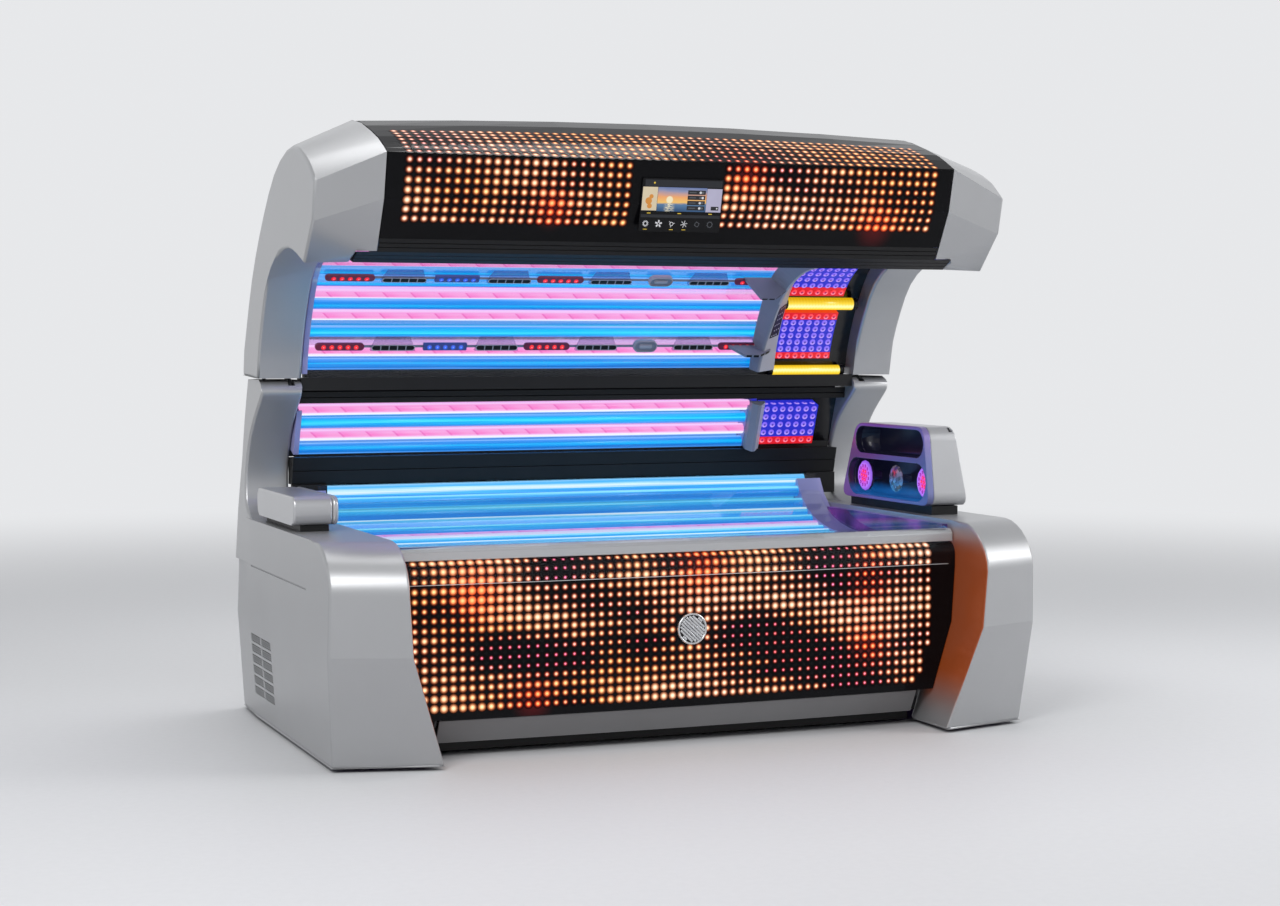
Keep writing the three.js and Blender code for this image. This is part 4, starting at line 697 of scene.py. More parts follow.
class Surface:
    """CAD nodes to cast rays on."""

    def __init__(self, *names):
        points, faces = [], []
        for name in names:
            mesh = nodes[name].data
            faces += [[i + len(points) for i in p.vertices] for p in mesh.polygons]
            points += [v.co.copy() for v in mesh.vertices]
        self.tree = BVHTree.FromPolygons(points, faces)

    def hit(self, origin, direction):
        place, normal, _, _ = self.tree.ray_cast(Vector(origin), Vector(direction).normalized())
        return None if place is None else (place, normal)

    def profile(self, x, eye, first, last, count, inward):
        """Hits round a point in the side view, seen from far outside or from the point itself."""
        line = []
        centre = Vector((x, *eye))
        for i in range(count + 1):
            angle = math.radians(first + (last - first) * i / count)
            out = Vector((0.0, math.cos(angle), math.sin(angle)))
            found = self.hit(centre + out * 3.0, -out) if inward else self.hit(centre, out)
            if found:
                line.append(found)
        return line


def mixed(first, second, share):
    """A hit between two hits."""
    return first[0].lerp(second[0], share), first[1].lerp(second[1], share).normalized()


def spaced(line, distances):
    """Points at given distances along a line of hits."""
    found, walked, i = [], 0.0, 0
    for wanted in distances:
        while i < len(line) - 1 and walked + (line[i + 1][0] - line[i][0]).length < wanted:
            walked += (line[i + 1][0] - line[i][0]).length
            i += 1
        if i >= len(line) - 1:
            break
        step = (line[i + 1][0] - line[i][0]).length
        found.append(mixed(line[i], line[i + 1], (wanted - walked) / max(step, 1e-9)))
    return found


def length_of(line):
    return sum((b - a).length for (a, _), (b, _) in zip(line, line[1:]))


def at_height(line, z):
    """The hit of a line at a height."""
    for first, second in zip(line, line[1:]):
        low, high = first[0].z, second[0].z
        if min(low, high) <= z <= max(low, high) and low != high:
            return mixed(first, second, (z - low) / (high - low))
    return line[-1]


# Geometry Nodes: one stamp set on many points


def named(g, name, kind):
    return g.node("GeometryNodeInputNamedAttribute", {"Name": name}, data_type=kind)


def stored(g, shape, name, value):
    return g.node("GeometryNodeStoreNamedAttribute", {"Geometry": shape, "Name": name, "Value": value})


def stamp_tree(name, shape):
    """Sets a stamp on each point, turned to the point's aim and scaled by its size."""
    tree = bpy.data.node_groups.new(name, "GeometryNodeTree")
    face = tree.interface
    face.new_socket("Points", in_out="INPUT", socket_type="NodeSocketGeometry")
    sides = face.new_socket("Sides", in_out="INPUT", socket_type="NodeSocketInt")
    finish = face.new_socket("Finish", in_out="INPUT", socket_type="NodeSocketMaterial")
    face.new_socket("Geometry", in_out="OUTPUT", socket_type="NodeSocketGeometry")
    g = Graph(tree)
    points, count, paint = g.node("NodeGroupInput", out=(0, 1, 2))
    turn = g.node("FunctionNodeAlignRotationToVector", {"Vector": named(g, "aim", "FLOAT_VECTOR")}, axis="Z")
    level = g.node("FunctionNodeAlignRotationToVector", {
        "Rotation": turn, "Vector": (1.0, 0.0, 0.0)}, axis="X", pivot_axis="Z")
    placed = g.node("GeometryNodeInstanceOnPoints", {
        "Points": points, "Instance": shape(g, count), "Rotation": level, "Scale": named(g, "size", "FLOAT_VECTOR")})
    real = g.node("GeometryNodeRealizeInstances", {0: placed})
    g.node("NodeGroupOutput", {0: g.node("GeometryNodeSetMaterial", {"Geometry": real, "Material": paint})})
    return {"tree": tree, "sides": sides.identifier, "finish": finish.identifier}


def with_rim(g, shape):
    """Stores each point's distance from the stamp's middle, and its height on the stamp."""
    spot = g.node("GeometryNodeInputPosition")
    flat = g.node("ShaderNodeVectorMath", {0: spot, 1: (1.0, 1.0, 0.0)}, operation="MULTIPLY")
    reach = g.node("ShaderNodeVectorMath", {0: flat}, "Value", operation="LENGTH")
    height = g.node("ShaderNodeSeparateXYZ", {0: spot}, "Y")
    return stored(g, stored(g, shape, "rim", reach), "side", height)


def disc_shape(g, count):
    """A flat disc that rises a little in its middle."""
    disc = g.node("GeometryNodeMeshCircle", {"Vertices": count, "Radius": 1.0}, fill_type="TRIANGLE_FAN")
    rise = g.node("ShaderNodeCombineXYZ", {"Z": 1 - named(g, "rim", "FLOAT")})
    return g.node("GeometryNodeSetPosition", {"Geometry": with_rim(g, disc), "Offset": rise})


def bead_shape(g, count):
    """A round lens."""
    ball = g.node("GeometryNodeMeshUVSphere", {"Segments": count, "Rings": 6, "Radius": 1.0})
    return g.node("GeometryNodeSetShadeSmooth", {"Geometry": with_rim(g, ball)})


def tube_shape(g, count):
    """A tube of unit length along X; turn runs from 0 at its top edge to 1 at its lower edge."""
    tube = g.node("GeometryNodeMeshCylinder", {"Vertices": count, "Radius": 1.0, "Depth": 1.0})
    laid = g.node("GeometryNodeTransform", {"Geometry": tube, "Rotation": (0.0, math.pi / 2, 0.0)})
    across = g.node("ShaderNodeSeparateXYZ", {0: g.node("GeometryNodeInputPosition")}, "Y")
    return g.node("GeometryNodeSetShadeSmooth", {"Geometry": stored(g, laid, "turn", 0.5 - across * 0.5)})


def block_shape(g, _):
    """A bar with square ends, one unit long, wide and high."""
    bar = g.node("GeometryNodeMeshCube", {"Size": (1.0, 1.0, 1.0)})
    return g.node("GeometryNodeTransform", {"Geometry": bar, "Translation": (0.0, 0.0, 0.5)})


DISCS = stamp_tree("set_discs", disc_shape)
BEADS = stamp_tree("set_beads", bead_shape)
TUBES = stamp_tree("set_tubes", tube_shape)
BLOCKS = stamp_tree("set_blocks", block_shape)


def stamped(name, maker, points, body, slot, material, sides=4, replaced=(), **columns):
    """A piece made of one stamp on many points; each point is a place, an aim and a size."""
    mesh = bpy.data.meshes.new(name)
    mesh.from_pydata([p[0] for p in points], [], [])
    columns = {"aim": [p[1] for p in points], "size": [p[2] for p in points], **columns}
    for key, values in columns.items():
        if isinstance(values[0], (float, int)):
            mesh.attributes.new(key, "FLOAT", "POINT").data.foreach_set("value", [float(v) for v in values])
        else:
            flat = [c for value in values for c in value]
            mesh.attributes.new(key, "FLOAT_VECTOR", "POINT").data.foreach_set("vector", flat)
    thing = linked(f"{name}_points", mesh)
    made = thing.modifiers.new("stamps", "NODES")
    made.node_group = maker["tree"]
    made[maker["sides"]] = sides
    made[maker["finish"]] = material
    final = baked(thing)
    bpy.data.objects.remove(thing)
    final.name = name
    return keep(name, final, body, slot, None, *replaced)


# Flat patches and prisms for small pieces


class Patch:
    """A place on a surface: u runs along the bed, v up the surface and n out of it."""

    def __init__(self, origin, normal):
        self.origin = Vector(origin)
        self.n = Vector(normal).normalized()
        self.v = self.n.cross(Vector((1.0, 0.0, 0.0))).normalized()
        self.u = self.v.cross(self.n)

    def at(self, a, b, c=0.0):
        return self.origin + self.u * a + self.v * b + self.n * c


def inset(outline, depth):
    """The outline moved inwards; its points run anticlockwise."""
    moved = []
    for i, here in enumerate(outline):
        before, after = Vector(outline[i - 1]), Vector(outline[(i + 1) % len(outline)])
        here = Vector(here)
        first, second = (here - before).normalized(), (after - here).normalized()
        lean = Vector((-first.y - second.y, first.x + second.x)).normalized()
        moved.append(tuple(here + lean * (depth / max(0.35, lean.dot(Vector((-first.y, first.x)))))))
    return moved


def rectangle(a0, a1, b0, b1):
    return [(a0, b0), (a1, b0), (a1, b1), (a0, b1)]


def rounded(width, height, radius, steps=5, centre=(0.0, 0.0)):
    """A rectangle with round corners."""
    points = []
    for turn, (sx, sy) in enumerate(((1, 1), (-1, 1), (-1, -1), (1, -1))):
        for i in range(steps + 1):
            angle = math.pi / 2 * (turn + i / steps)
            points.append((
                centre[0] + sx * (width / 2 - radius) + radius * math.cos(angle),
                centre[1] + sy * (height / 2 - radius) + radius * math.sin(angle)))
    return points


def circle(radius, steps, centre=(0.0, 0.0), turn=0.0):
    angles = [math.tau * i / steps + turn for i in range(steps)]
    return [(centre[0] + radius * math.cos(a), centre[1] + radius * math.sin(a)) for a in angles]


class Build:
    """A mesh that grows prism by prism; where no paint is named, a face takes the first material."""

    def __init__(self, *materials):
        self.work = bmesh.new()
        self.materials = materials

    def paint(self, face, paint):
        face.material_index = self.materials.index(paint) if paint else 0

    def loop(self, rings, paint=None, smooth=False):
        """Skins a list of rings of points."""
        lines = [[self.work.verts.new(p) for p in ring] for ring in rings]
        count = len(lines[0])
        for a, b in zip(lines, lines[1:]):
            for i in range(count):
                j = (i + 1) % count
                face = self.work.faces.new((a[i], a[j], b[j], b[i]))
                face.smooth = smooth
                self.paint(face, paint)
        return lines

    def cap(self, ring, paint=None):
        face = self.work.faces.new(ring)
        self.paint(face, paint)
        return face

    def bar(self, rings, paint=None):
        """Skins rings and closes both ends; gives the last end."""
        lines = self.loop(rings, paint)
        self.cap(lines[0][::-1], paint)
        return self.cap(lines[-1], paint)

    def prism(self, patch, outline, low, high, chamfer=0.0, paint=None):
        """A plate on a patch, between two heights, with its front edge broken; gives its front."""
        rings = [[patch.at(a, b, c) for a, b in outline] for c in (low, high - chamfer)]
        if chamfer:
            rings.append([patch.at(a, b, high) for a, b in inset(outline, chamfer)])
        return self.bar(rings, paint)

    def dish(self, face, border, depth, paint):
        """Sinks the middle of a face."""
        for thickness, sink in ((border, 0.0), (0.001, -depth)):
            bmesh.ops.inset_region(
                self.work, faces=[face], thickness=thickness, depth=sink, use_even_offset=True)
        self.paint(face, paint)

    def mesh(self, name):
        made = mesh_of(self.work, name)
        for material in self.materials:
            made.materials.append(material)
        return made

    def ready(self, name, body, slot, *replaced):
        bmesh.ops.recalc_face_normals(self.work, faces=self.work.faces)
        return keep(name, self.mesh(name), body, slot, None, *replaced)


# Lacquered mouldings

for node in ("right_end_pod", "left_end_pod", "right_canopy_cheek", "left_canopy_cheek"):
    dressed(node, SILVER if "cheek" in node else POD_SILVER, 0.008)
dressed("foot_box_shell", CONSOLE_SILVER, 0.006, 50.0)
dressed("foot_box_cap", CONSOLE_SILVER, 0.008, 50.0, 4)
dressed("bench_trim", TRIM, 0.002, 25.0, 2)
dressed("kick_plate", KICK, 0.0015, 50.0, 2)
dressed("canopy_roof", GLOSS, 0.0015, 45.0, 2)


# Rows of light dots

FRONT_PITCH = 0.0294
FRONT_FIRST_ROW = 0.1575
MEDALLION_Z = 0.364
MEDALLION_ROOM = 0.054
CANOPY_PITCH = 0.0305
CANOPY_FIRST_ROW = 1.629
FASCIA_LOW_EDGE = 1.6
DISPLAY_MIDDLE = -0.006
DISPLAY_ROOM = 0.155
DISPLAY_TOP = 1.8


def warmth(u, v, seed, spots, drift):
    """How a dot burns: its size in slow drifts and steps between rows, a few hot spots, and how amber it is."""
    slow = noise.noise(Vector((u * 3.4 + seed, v * 8.5, seed * 0.37)))
    fine = noise.noise(Vector((u * 10.0, v * 26.0 + seed, 4.0 + seed)))
    tint = noise.noise(Vector((u * 2.3 - seed, v * 5.0 + 2.0, 1.7 * seed)))
    hot = sum(math.exp(-((u - x) ** 2 + (v - y) ** 2) / (0.3 * r * r)) for x, y, r in spots)
    burn = max(0.0, min(1.0, 0.5 + slow * drift + fine * 0.3))
    return burn, min(1.0, hot), max(0.0, min(1.0, 0.5 + tint * 1.5))


def dotted(name, body, places, pitch, seed, spots, drift):
    """A disc of light just over each place."""
    size = (pitch * 0.54, pitch * 0.54, 0.0004)
    points = [(place + normal * 0.0005, normal, size) for place, normal in places]
    burn, ember, amber = zip(*[warmth(place.x, place.z, seed, spots, drift) for place, _ in places])
    stamped(name, DISCS, points, body, "gloss_black", LIGHT_DOT, 12, burn=burn, ember=ember, amber=amber)


def front_dots():
    panel = Surface("front_panel")
    places = []
    for column in range(-31, 30):
        x = column * FRONT_PITCH - 0.004
        line = panel.profile(x, (-0.30, 0.40), 236.0, 118.0, 110, True)
        line = [hit for hit in line if hit[1].y < -0.05 or hit[1].z > 0.5]
        if not line:
            continue
        start = FRONT_FIRST_ROW - line[0][0].z
        while start < 0.0:
            start += FRONT_PITCH
        beyond = x - 0.024 if x < 0 else x + 0.07
        for place, normal in spaced(line, [start + i * FRONT_PITCH for i in range(20)]):
            off_edge = panel.hit((beyond, -1.0, min(place.z, 0.555)), (0, 1, 0))
            if off_edge and math.hypot(x, place.z - MEDALLION_Z) >= MEDALLION_ROOM:
                places.append((place, normal))
    dotted("front_light_dots", "base", places, FRONT_PITCH, 3.7, HOT_FRONT, 0.95)


def canopy_dots():
    cover = Surface("canopy_fascia", "canopy_roof")
    places = []
    for column in range(59):
        x = -0.884 + column * CANOPY_PITCH
        line = cover.profile(x, (-0.1, 1.6), 186.0, 62.0, 150, True)
        line = line[next(i for i, hit in enumerate(line) if hit[0].z > FASCIA_LOW_EDGE):]
        first = CANOPY_FIRST_ROW - line[0][0].z
        for place, normal in spaced(line, [first + i * CANOPY_PITCH for i in range(14)]):
            if abs(x - DISPLAY_MIDDLE) >= DISPLAY_ROOM or place.z >= DISPLAY_TOP:
                places.append((place, normal))
    dotted("canopy_light_dots", "canopy", places, CANOPY_PITCH, 11.3, HOT_CANOPY, 0.45)


front_dots()
canopy_dots()


# Lamps

LAMP_RADIUS = 0.019
LAMP_PITCH = 0.046
VAULT_EYE = (-0.1, 1.2)
HEAD_TUBE_END = 0.972


def long_faces(work):
    """The long sides of the plain rods in a lamp bank."""
    return [f for f in work.faces if max(v.co.x for v in f.verts) - min(v.co.x for v in f.verts) > LONG_FACE]


def rods_of(node):
    """Middle and ends of each lamp in a lamp bank: (x0, x1, y, z)."""
    work = merged(node)
    rest = set(long_faces(work))
    rods = []
    while rest:
        front, group = [rest.pop()], set()
        while front:
            face = front.pop()
            group.update(face.verts)
            beside = {other for edge in face.edges for other in edge.link_faces} & rest
            rest -= beside
            front += beside
        spots = {(round(v.co.y, 4), round(v.co.z, 4)) for v in group}
        y, z = [sum(values) / len(spots) for values in zip(*spots)]
        rods.append((min(v.co.x for v in group), max(v.co.x for v in group), y, z))
    work.free()
    return sorted(rods, key=lambda rod: (rod[3], rod[2]))


def facing(eye, y, z):
    """The aim of a lamp at a point in the side view."""
    return (Vector((0.0, *eye)) - Vector((0.0, y, z))).normalized()


def lamps(node, eye, kind_of):
    """Round tubes in place of a bank's plain rods, and the bank's holder strips without the rods."""
    body, slot = body_of_node[node], slot_of_node[node]
    tubes, kinds = [], []
    for x0, x1, y, z in rods_of(node):
        tubes.append((Vector(((x0 + x1) / 2, y, z)), facing(eye, y, z), (x1 - x0, LAMP_RADIUS, LAMP_RADIUS)))
        kinds.append(kind_of(y, z))
    stamped(f"{node}_tubes", TUBES, tubes, body, slot, LAMP, 20, kind=kinds)
    work = merged(node)
    bmesh.ops.delete(work, geom=long_faces(work), context="FACES")
    keep(f"{node}_holders", mesh_of(work, f"{node}_holders"), body, slot, HOLDER, node)


def head_lamps():
    """Two short yellow tubes with dark sockets at the head end."""
    tubes, sockets = [], []
    for (x0, _, y, z), radius, drop in zip(rods_of("head_lamp_bank"), (0.0185, 0.022), (0.014, 0.012)):
        aim = facing(VAULT_EYE, y, z)
        start = x0 + 0.014
        middle = (start + HEAD_TUBE_END) / 2
        tubes.append((Vector((middle, y, z - drop)), aim, (HEAD_TUBE_END - start, radius, radius)))
        for x, length in ((x0 + 0.008, 0.016), (0.98, 0.02)):
            sockets.append((Vector((x, y, z - drop)), aim, (length, radius * 0.94, radius * 0.94)))
    stamped("head_lamp_tubes", TUBES, tubes, "canopy", "yellow_tube", YELLOW, 20, ("head_lamp_bank",))
    stamped("head_lamp_sockets", TUBES, sockets, "canopy", "satin_black", SATIN, 16)


# The kind of a lamp: 0 is pink, 1 blue, 2 cyan and 3 pale

CANOPY_KINDS = ((1.205, 1.0), (1.25, 0.0), (1.315, 2.0), (1.37, 0.0), (1.405, 1.0), (1.438, 0.0), (1.475, 1.0))


def bench_kind(y, _):
    """Cyan and pale in turn, and one that is nearly pink at the rear."""
    return 0.35 if abs(y - 0.35) < 0.022 else 2.3 + 0.7 * (int(y / LAMP_PITCH + 10) % 2)


def wall_kind(_, z):
    """From the top: pink, cyan, pink, blue."""
    return 0.0 if z > 1.0 or 0.92 < z < 0.96 else 2.0 if z > 0.96 else 1.0


def canopy_kind(y, z):
    """Blue and pink in turn, by height, up to the front of the vault."""
    for top, kind in CANOPY_KINDS:
        if z < top:
            return kind
    return float(int((0.3 - y) / LAMP_PITCH) % 2)


lamps("bench_lamp_bank", (0.0, 2.0), bench_kind)
lamps("wall_lamp_bank", (-0.6, 1.0), wall_kind)
lamps("canopy_lamp_bank", VAULT_EYE, canopy_kind)
head_lamps()


# Light and air modules on the canopy cover

RED = (1.0, 0.004, 0.012)
BLUE = (0.015, 0.11, 0.8)
VIOLET = (0.2, 0.12, 0.95)

MODULES = ("red", "vent", "blue", "vent", "red", "vent", "nozzle", "vent", "red")
MODULE_PITCH = 0.181
# Length, corner radius, plastic and light of the modules with lights
LIGHT_MODULES = {"red": (0.166, 0.0125, MODULE_RED, RED), "blue": (0.152, 0.003, MODULE_BLUE, BLUE)}

vault = Surface("canopy_cover").profile(0.0, (-0.15, 1.22), -8.0, 78.0, 160, False)


def on_vault(z):
    """The patch of the canopy cover at a height."""
    place, normal = at_height(vault, z)
    return Patch((0.0, place.y, place.z), normal)


def wedge(build, patch, x, half):
    """An air housing: an upright front that slopes back to the cover, narrower at its top."""
    section = [(-0.013, 0.0), (-0.013, 0.0125), (0.0105, 0.0125), (0.034, 0.002), (0.034, 0.0)]
    build.bar([
        [patch.at(x + side * (half - 0.018 * (b + 0.013) / 0.047), b, c) for b, c in section]
        for side in (-1.0, 1.0)], VENT_CLEAR)


def module_row(node):
    low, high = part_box(node)
    patch = on_vault((low.z + high.z) / 2)
    build = Build(DIVIDER, MODULE_RED, MODULE_BLUE, PIT, FRAME_GREY, VENT_CLEAR)
    beads, tints, slots = [], [], []
    build.prism(patch, rectangle(low.x, high.x, -0.004, 0.004), 0.001, 0.005, 0.001)
    for i, kind in enumerate(MODULES):
        x = low.x + 0.063 + i * MODULE_PITCH
        if kind in LIGHT_MODULES:
            reach, corner, plastic, tint = LIGHT_MODULES[kind]
            build.prism(patch, rounded(reach, 0.026, corner, 5, (x, 0.0)), 0.001, 0.0105, 0.0015, plastic)
            for k in range(-2, 3):
                beads.append((patch.at(x + k * 0.0275, -0.001, 0.0106), patch.n, (0.0088, 0.0088, 0.0022)))
                tints.append(tint)
        elif kind == "vent":
            wedge(build, patch, x, 0.077)
            build.prism(patch, rounded(0.15, 0.0215, 0.0105, 5, (x, -0.0015)), 0.0125, 0.0139, 0.0005, FRAME_GREY)
            build.prism(patch, rounded(0.144, 0.0155, 0.0077, 5, (x, -0.0015)), 0.0139, 0.0142, 0.0, PIT)
            for k in (-1.5, -0.5, 0.5, 1.5):
                slots.append((patch.at(x + k * 0.0288, -0.0015, 0.0139), patch.n, (0.0032, 0.017, 0.0009)))
        else:
            rim = build.prism(patch, rounded(0.088, 0.044, 0.0215, 8, (x, 0.002)), 0.001, 0.017, 0.004, FRAME_GREY)
            build.dish(rim, 0.006, 0.006, DIVIDER)
            build.prism(patch, rounded(0.05, 0.015, 0.007, 6, (x, 0.002)), 0.006, 0.0165, 0.003, FRAME_GREY)
    body = body_of_node[node]
    build.ready(f"{node}_housings", body, slot_of_node[node], node)
    stamped(f"{node}_lights", DISCS, beads, body, "head_light", MODULE_LIGHT, 14, tint=tints)
    stamped(f"{node}_vent_bars", BLOCKS, slots, body, "divider_grey", FRAME_GREY)


module_row("module_row_rear")
module_row("module_row_front")


# Head-end lights

BEAD_COLUMNS = 7
HEAD_EDGE = 0.6966
RIDGE_TOP = 0.049
RIDGE_SHOULDER = 0.01


def head_beads(node, eye, angles, reds, rows, spacing=None):
    """Columns of lens lights over a lit board; the rows named in reds are red."""
    low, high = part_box(node)
    board = Surface(node)
    beads, tints = [], []
    for column in range(BEAD_COLUMNS):
        x = low.x + (high.x - low.x) * (column + 0.5) / BEAD_COLUMNS
        line = board.profile(x, eye, *angles, 90, False)
        line = [hit for hit in line if hit[1].y < -0.2 or hit[1].z < -0.5]
        first, step = spacing or (length_of(line) / rows / 2, length_of(line) / rows)
        for row, (place, normal) in enumerate(spaced(line, [first + step * i for i in range(rows)])):
            beads.append((place + normal * 0.0006, normal, (0.0112, 0.0112, 0.003)))
            tints.append(RED if row in reds else VIOLET)
    stamped(f"{node}_lenses", DISCS, beads, body_of_node[node], "head_light", BEAD, 14, tint=tints)


head_beads("head_light_upper", (-0.15, 1.25), (5.0, 75.0), (0,), 6)
head_beads("head_light_lower", (-0.15, 1.25), (-20.0, 40.0), (0, 6), 7, (0.009, 0.0255))
head_beads("wall_led_board", (-0.6, 0.96), (-20.0, 20.0), (0,), 6)


def ridge(build, line, section_at, steps, crest):
    """A rib that runs along a line of hits; its section is (x, height). The side beyond the crest is painted paler, as
    painted light on that flank.
    """
    rings = []
    for place, normal in spaced(line, [length_of(line) * i / steps for i in range(steps)]):
        rings.append([Vector((x, place.y, place.z)) + normal * h for x, h in section_at(place.z)])
    build.bar(rings)
    # painted light: the faces beyond the crest take the paler grey, as if lit
    for face in build.work.faces:
        if len(face.verts) == 4 and face.calc_center_median().x > crest:
            build.paint(face, PALE_GREY)


def crest_at(z):
    """Where the head ridge is highest: it leans towards the head end as it climbs."""
    return 0.621 + 0.12 * (z - 1.187)


def head_section(z):
    """The head ridge's section at a height."""
    c = crest_at(z)
    return [
        (0.604, 0.0), (HEAD_EDGE, 0.0), (HEAD_EDGE, RIDGE_SHOULDER), (c + 0.005, RIDGE_TOP), (c, 0.051),
        (c - 0.005, 0.0485), (0.604, 0.004)]


def wing(build, z, reach, slots):
    """An air blade that stands out of the cover at the ridge, with slots along its outer edge."""
    foot = on_vault(z)
    out = (foot.n * 0.978 - foot.v * 0.208).normalized()
    blade = Patch(foot.origin, Vector((1.0, 0.0, 0.0)).cross(out))
    outline = [(0.50, 0.0), (0.66, 0.0), (0.66, 0.56 * reach), (0.607, reach), (0.552, reach)]
    build.prism(blade, outline, -0.006, 0.006, 0.002)
    slant = (blade.u * 0.44 * reach + blade.v * 0.053).normalized()
    for a, share, aim in (
            (0.5665, 0.0, blade.v), (0.594, 0.0, blade.v), (0.621, 0.264, slant), (0.645, 0.717, slant)):
        slots.append((blade.at(a, reach * (1 - 0.44 * share), 0.0), aim, (0.02, 0.0085, 0.001)))


def head_grille(build):
    """A black grille plate on the ridge's flank, with rows of paler cells."""
    rings, cells = [], []
    for row in range(18):
        patch = on_vault(1.285 + row * 0.0065)
        high, low = Vector((crest_at(patch.origin.z) + 0.005, RIDGE_TOP)), Vector((HEAD_EDGE, RIDGE_SHOULDER))
        across = (low - high).normalized()
        lean = Vector((-across.y, across.x))
        top, end = high.lerp(low, 0.1), high.lerp(low, 0.9)
        rings.append([patch.at(p.x, 0.0, p.y) for p in (top, end, end + lean * 0.0016, top + lean * 0.0016)])
        aim = patch.u * lean.x + patch.n * lean.y
        if row % 3 == 1:
            for column in range(3):
                spot = top.lerp(end, (column + 0.75 + 0.5 * (row // 3 % 2)) / 4) + lean * 0.0017
                cells.append((patch.at(spot.x, 0.0, spot.y), aim, (0.0042, 0.0042, 0.0004)))
    build.bar(rings, PIT)
    return cells


def head_divider():
    """Ridge between the lamps and the head lights, with two air wings and a grille on its flank."""
    low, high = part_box("head_divider")
    line = [hit for hit in vault if low.z + 0.002 < hit[0].z < high.z and hit[0].y > -0.15]
    build = Build(DIVIDER, PALE_GREY, PIT)
    ridge(build, line, head_section, 30, 0.645)
    slots = []
    wing(build, 1.243, 0.07, slots)
    wing(build, 1.475, 0.08, slots)
    cells = head_grille(build)
    body = body_of_node["head_divider"]
    build.ready("head_divider_ridge", body, "divider_grey", "head_divider")
    stamped("head_divider_slots", BLOCKS, slots, body, "satin_black", PIT)
    stamped("head_divider_grille", DISCS, cells, body, "divider_grey", PALE_GREY)


def wall_divider():
    low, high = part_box("wall_divider")
    line = Surface("wall_cover").profile(0.0, (-0.6, 0.96), -12.0, 12.0, 80, False)
    line = [hit for hit in line if low.z + 0.012 < hit[0].z < high.z + 0.004]
    (below, _), (above, lean) = line[-2:]
    upward = (above - below).normalized()
    line += [(above + upward * 0.012, lean), (above + upward * 0.014, lean)]
    build = Build(DIVIDER, PALE_GREY)
    section = [
        (0.6406, 0.0), (HEAD_EDGE, 0.0), (HEAD_EDGE, 0.012), (0.668, 0.044), (0.656, 0.045), (0.6406, 0.022)]
    ridge(build, line, lambda z: section, 10, 0.675)
    build.ready("wall_divider_ridge", "base", "divider_grey", "wall_divider")


head_divider()
wall_divider()


# Strips that close the gaps behind the rails

POD_WALL = 1.0166
SHADE_STRIP_END = 0.93


def strips(name, body, slot, material, *spans):
    """Plain strips, each given by its spans along the bed, across it and upwards."""
    build = Build(material)
    patch = Patch((0.0, 0.0, 0.0), (0.0, -1.0, 0.0))
    for xs, (front, rear), zs in spans:
        build.prism(patch, rectangle(*xs, *zs), -rear, -front, 0.001)
    build.ready(name, body, slot)


def both_ends(inner, outer, ys, zs):
    """The same strip at the foot end and at the head end."""
    return ((-outer, -inner), ys, zs), ((inner, outer), ys, zs)


def bench_shade_strip():
    """A dark violet strip under the front bend of the acrylic, painted shade, and a lit strip behind its rear edge."""
    sheet = Surface("bench_acrylic")
    rings = []
    for i in range(9):
        y = -0.475 + i * 0.0175
        z = sheet.hit((0.0, y, 0.3), (0.0, 0.0, 1.0))[0].z - 0.0012
        rings.append([Vector((x, y, up)) for x, up in rectangle(-SHADE_STRIP_END, SHADE_STRIP_END, z, z - 0.0015)])
    # painted shade: the dark violet strip stands for the shade under the acrylic's front bend
    build = Build(VIOLET_SHADE_PAINT)
    build.bar(rings)
    build.ready("bench_shade_strip", "base", "satin_black")
    tube = (Vector((0.0, 0.516, 0.747)), Vector((0.0, -1.0, 0.2)), (1.79, 0.021, 0.01))
    stamped("bench_rear_lamp", TUBES, [tube], "base", "lamp_tube", LAMP, 20, kind=[3.0])


strips(
    "canopy_closing_strips", "canopy", "satin_black", SATIN,
    ((-1.0, 1.0), (0.404, 0.428), (1.137, 1.159)), ((-1.0, 1.0), (-0.254, -0.246), (1.5665, 1.604)))
strips(
    "wall_closing_strips", "base", "satin_black", SATIN,
    ((-1.0, 1.0), (0.53, 0.556), (0.8665, 0.89)), ((-1.004, 1.004), (0.478, 0.482), (1.06, 1.122)),
    *both_ends(0.8975, POD_WALL, (0.505, 0.53), (0.70, 0.7745)),
    *both_ends(0.9525, POD_WALL, (0.5595, 0.5635), (0.868, 1.075)))
strips(
    "bench_end_shelves", "base", "gloss_black", SHELF,
    *both_ends(0.9335, 0.998, (-0.44, 0.40), (0.575, 0.655)))
bench_shade_strip()


# Console on the head-end pod

# Front end, rear end, height and radius of the two slots, and how deep the face lies
CONSOLE_SLOTS = ((-0.1894, 0.2479, 0.7761, 0.0653), (-0.1880, 0.2110, 0.9075, 0.0477))
CONSOLE_FACE_X = 0.9752


def in_slots(place):
    """True inside one of the two slots of the console, seen from the bench."""
    for front, rear, z, radius in CONSOLE_SLOTS:
        y = max(front, min(rear, place.y))
        if math.hypot(place.y - y, place.z - z) < radius:
            return place.x > CONSOLE_FACE_X
    return False


for node, material in (("console_shell", CONSOLE_SILVER), ("console_face", FACE_SILVER)):
    piece = dressed(node, material, 0.003, 50.0)
    piece.data.materials.append(LINING)
    for face in piece.data.polygons:
        if in_slots(face.center):
            face.material_index = 1


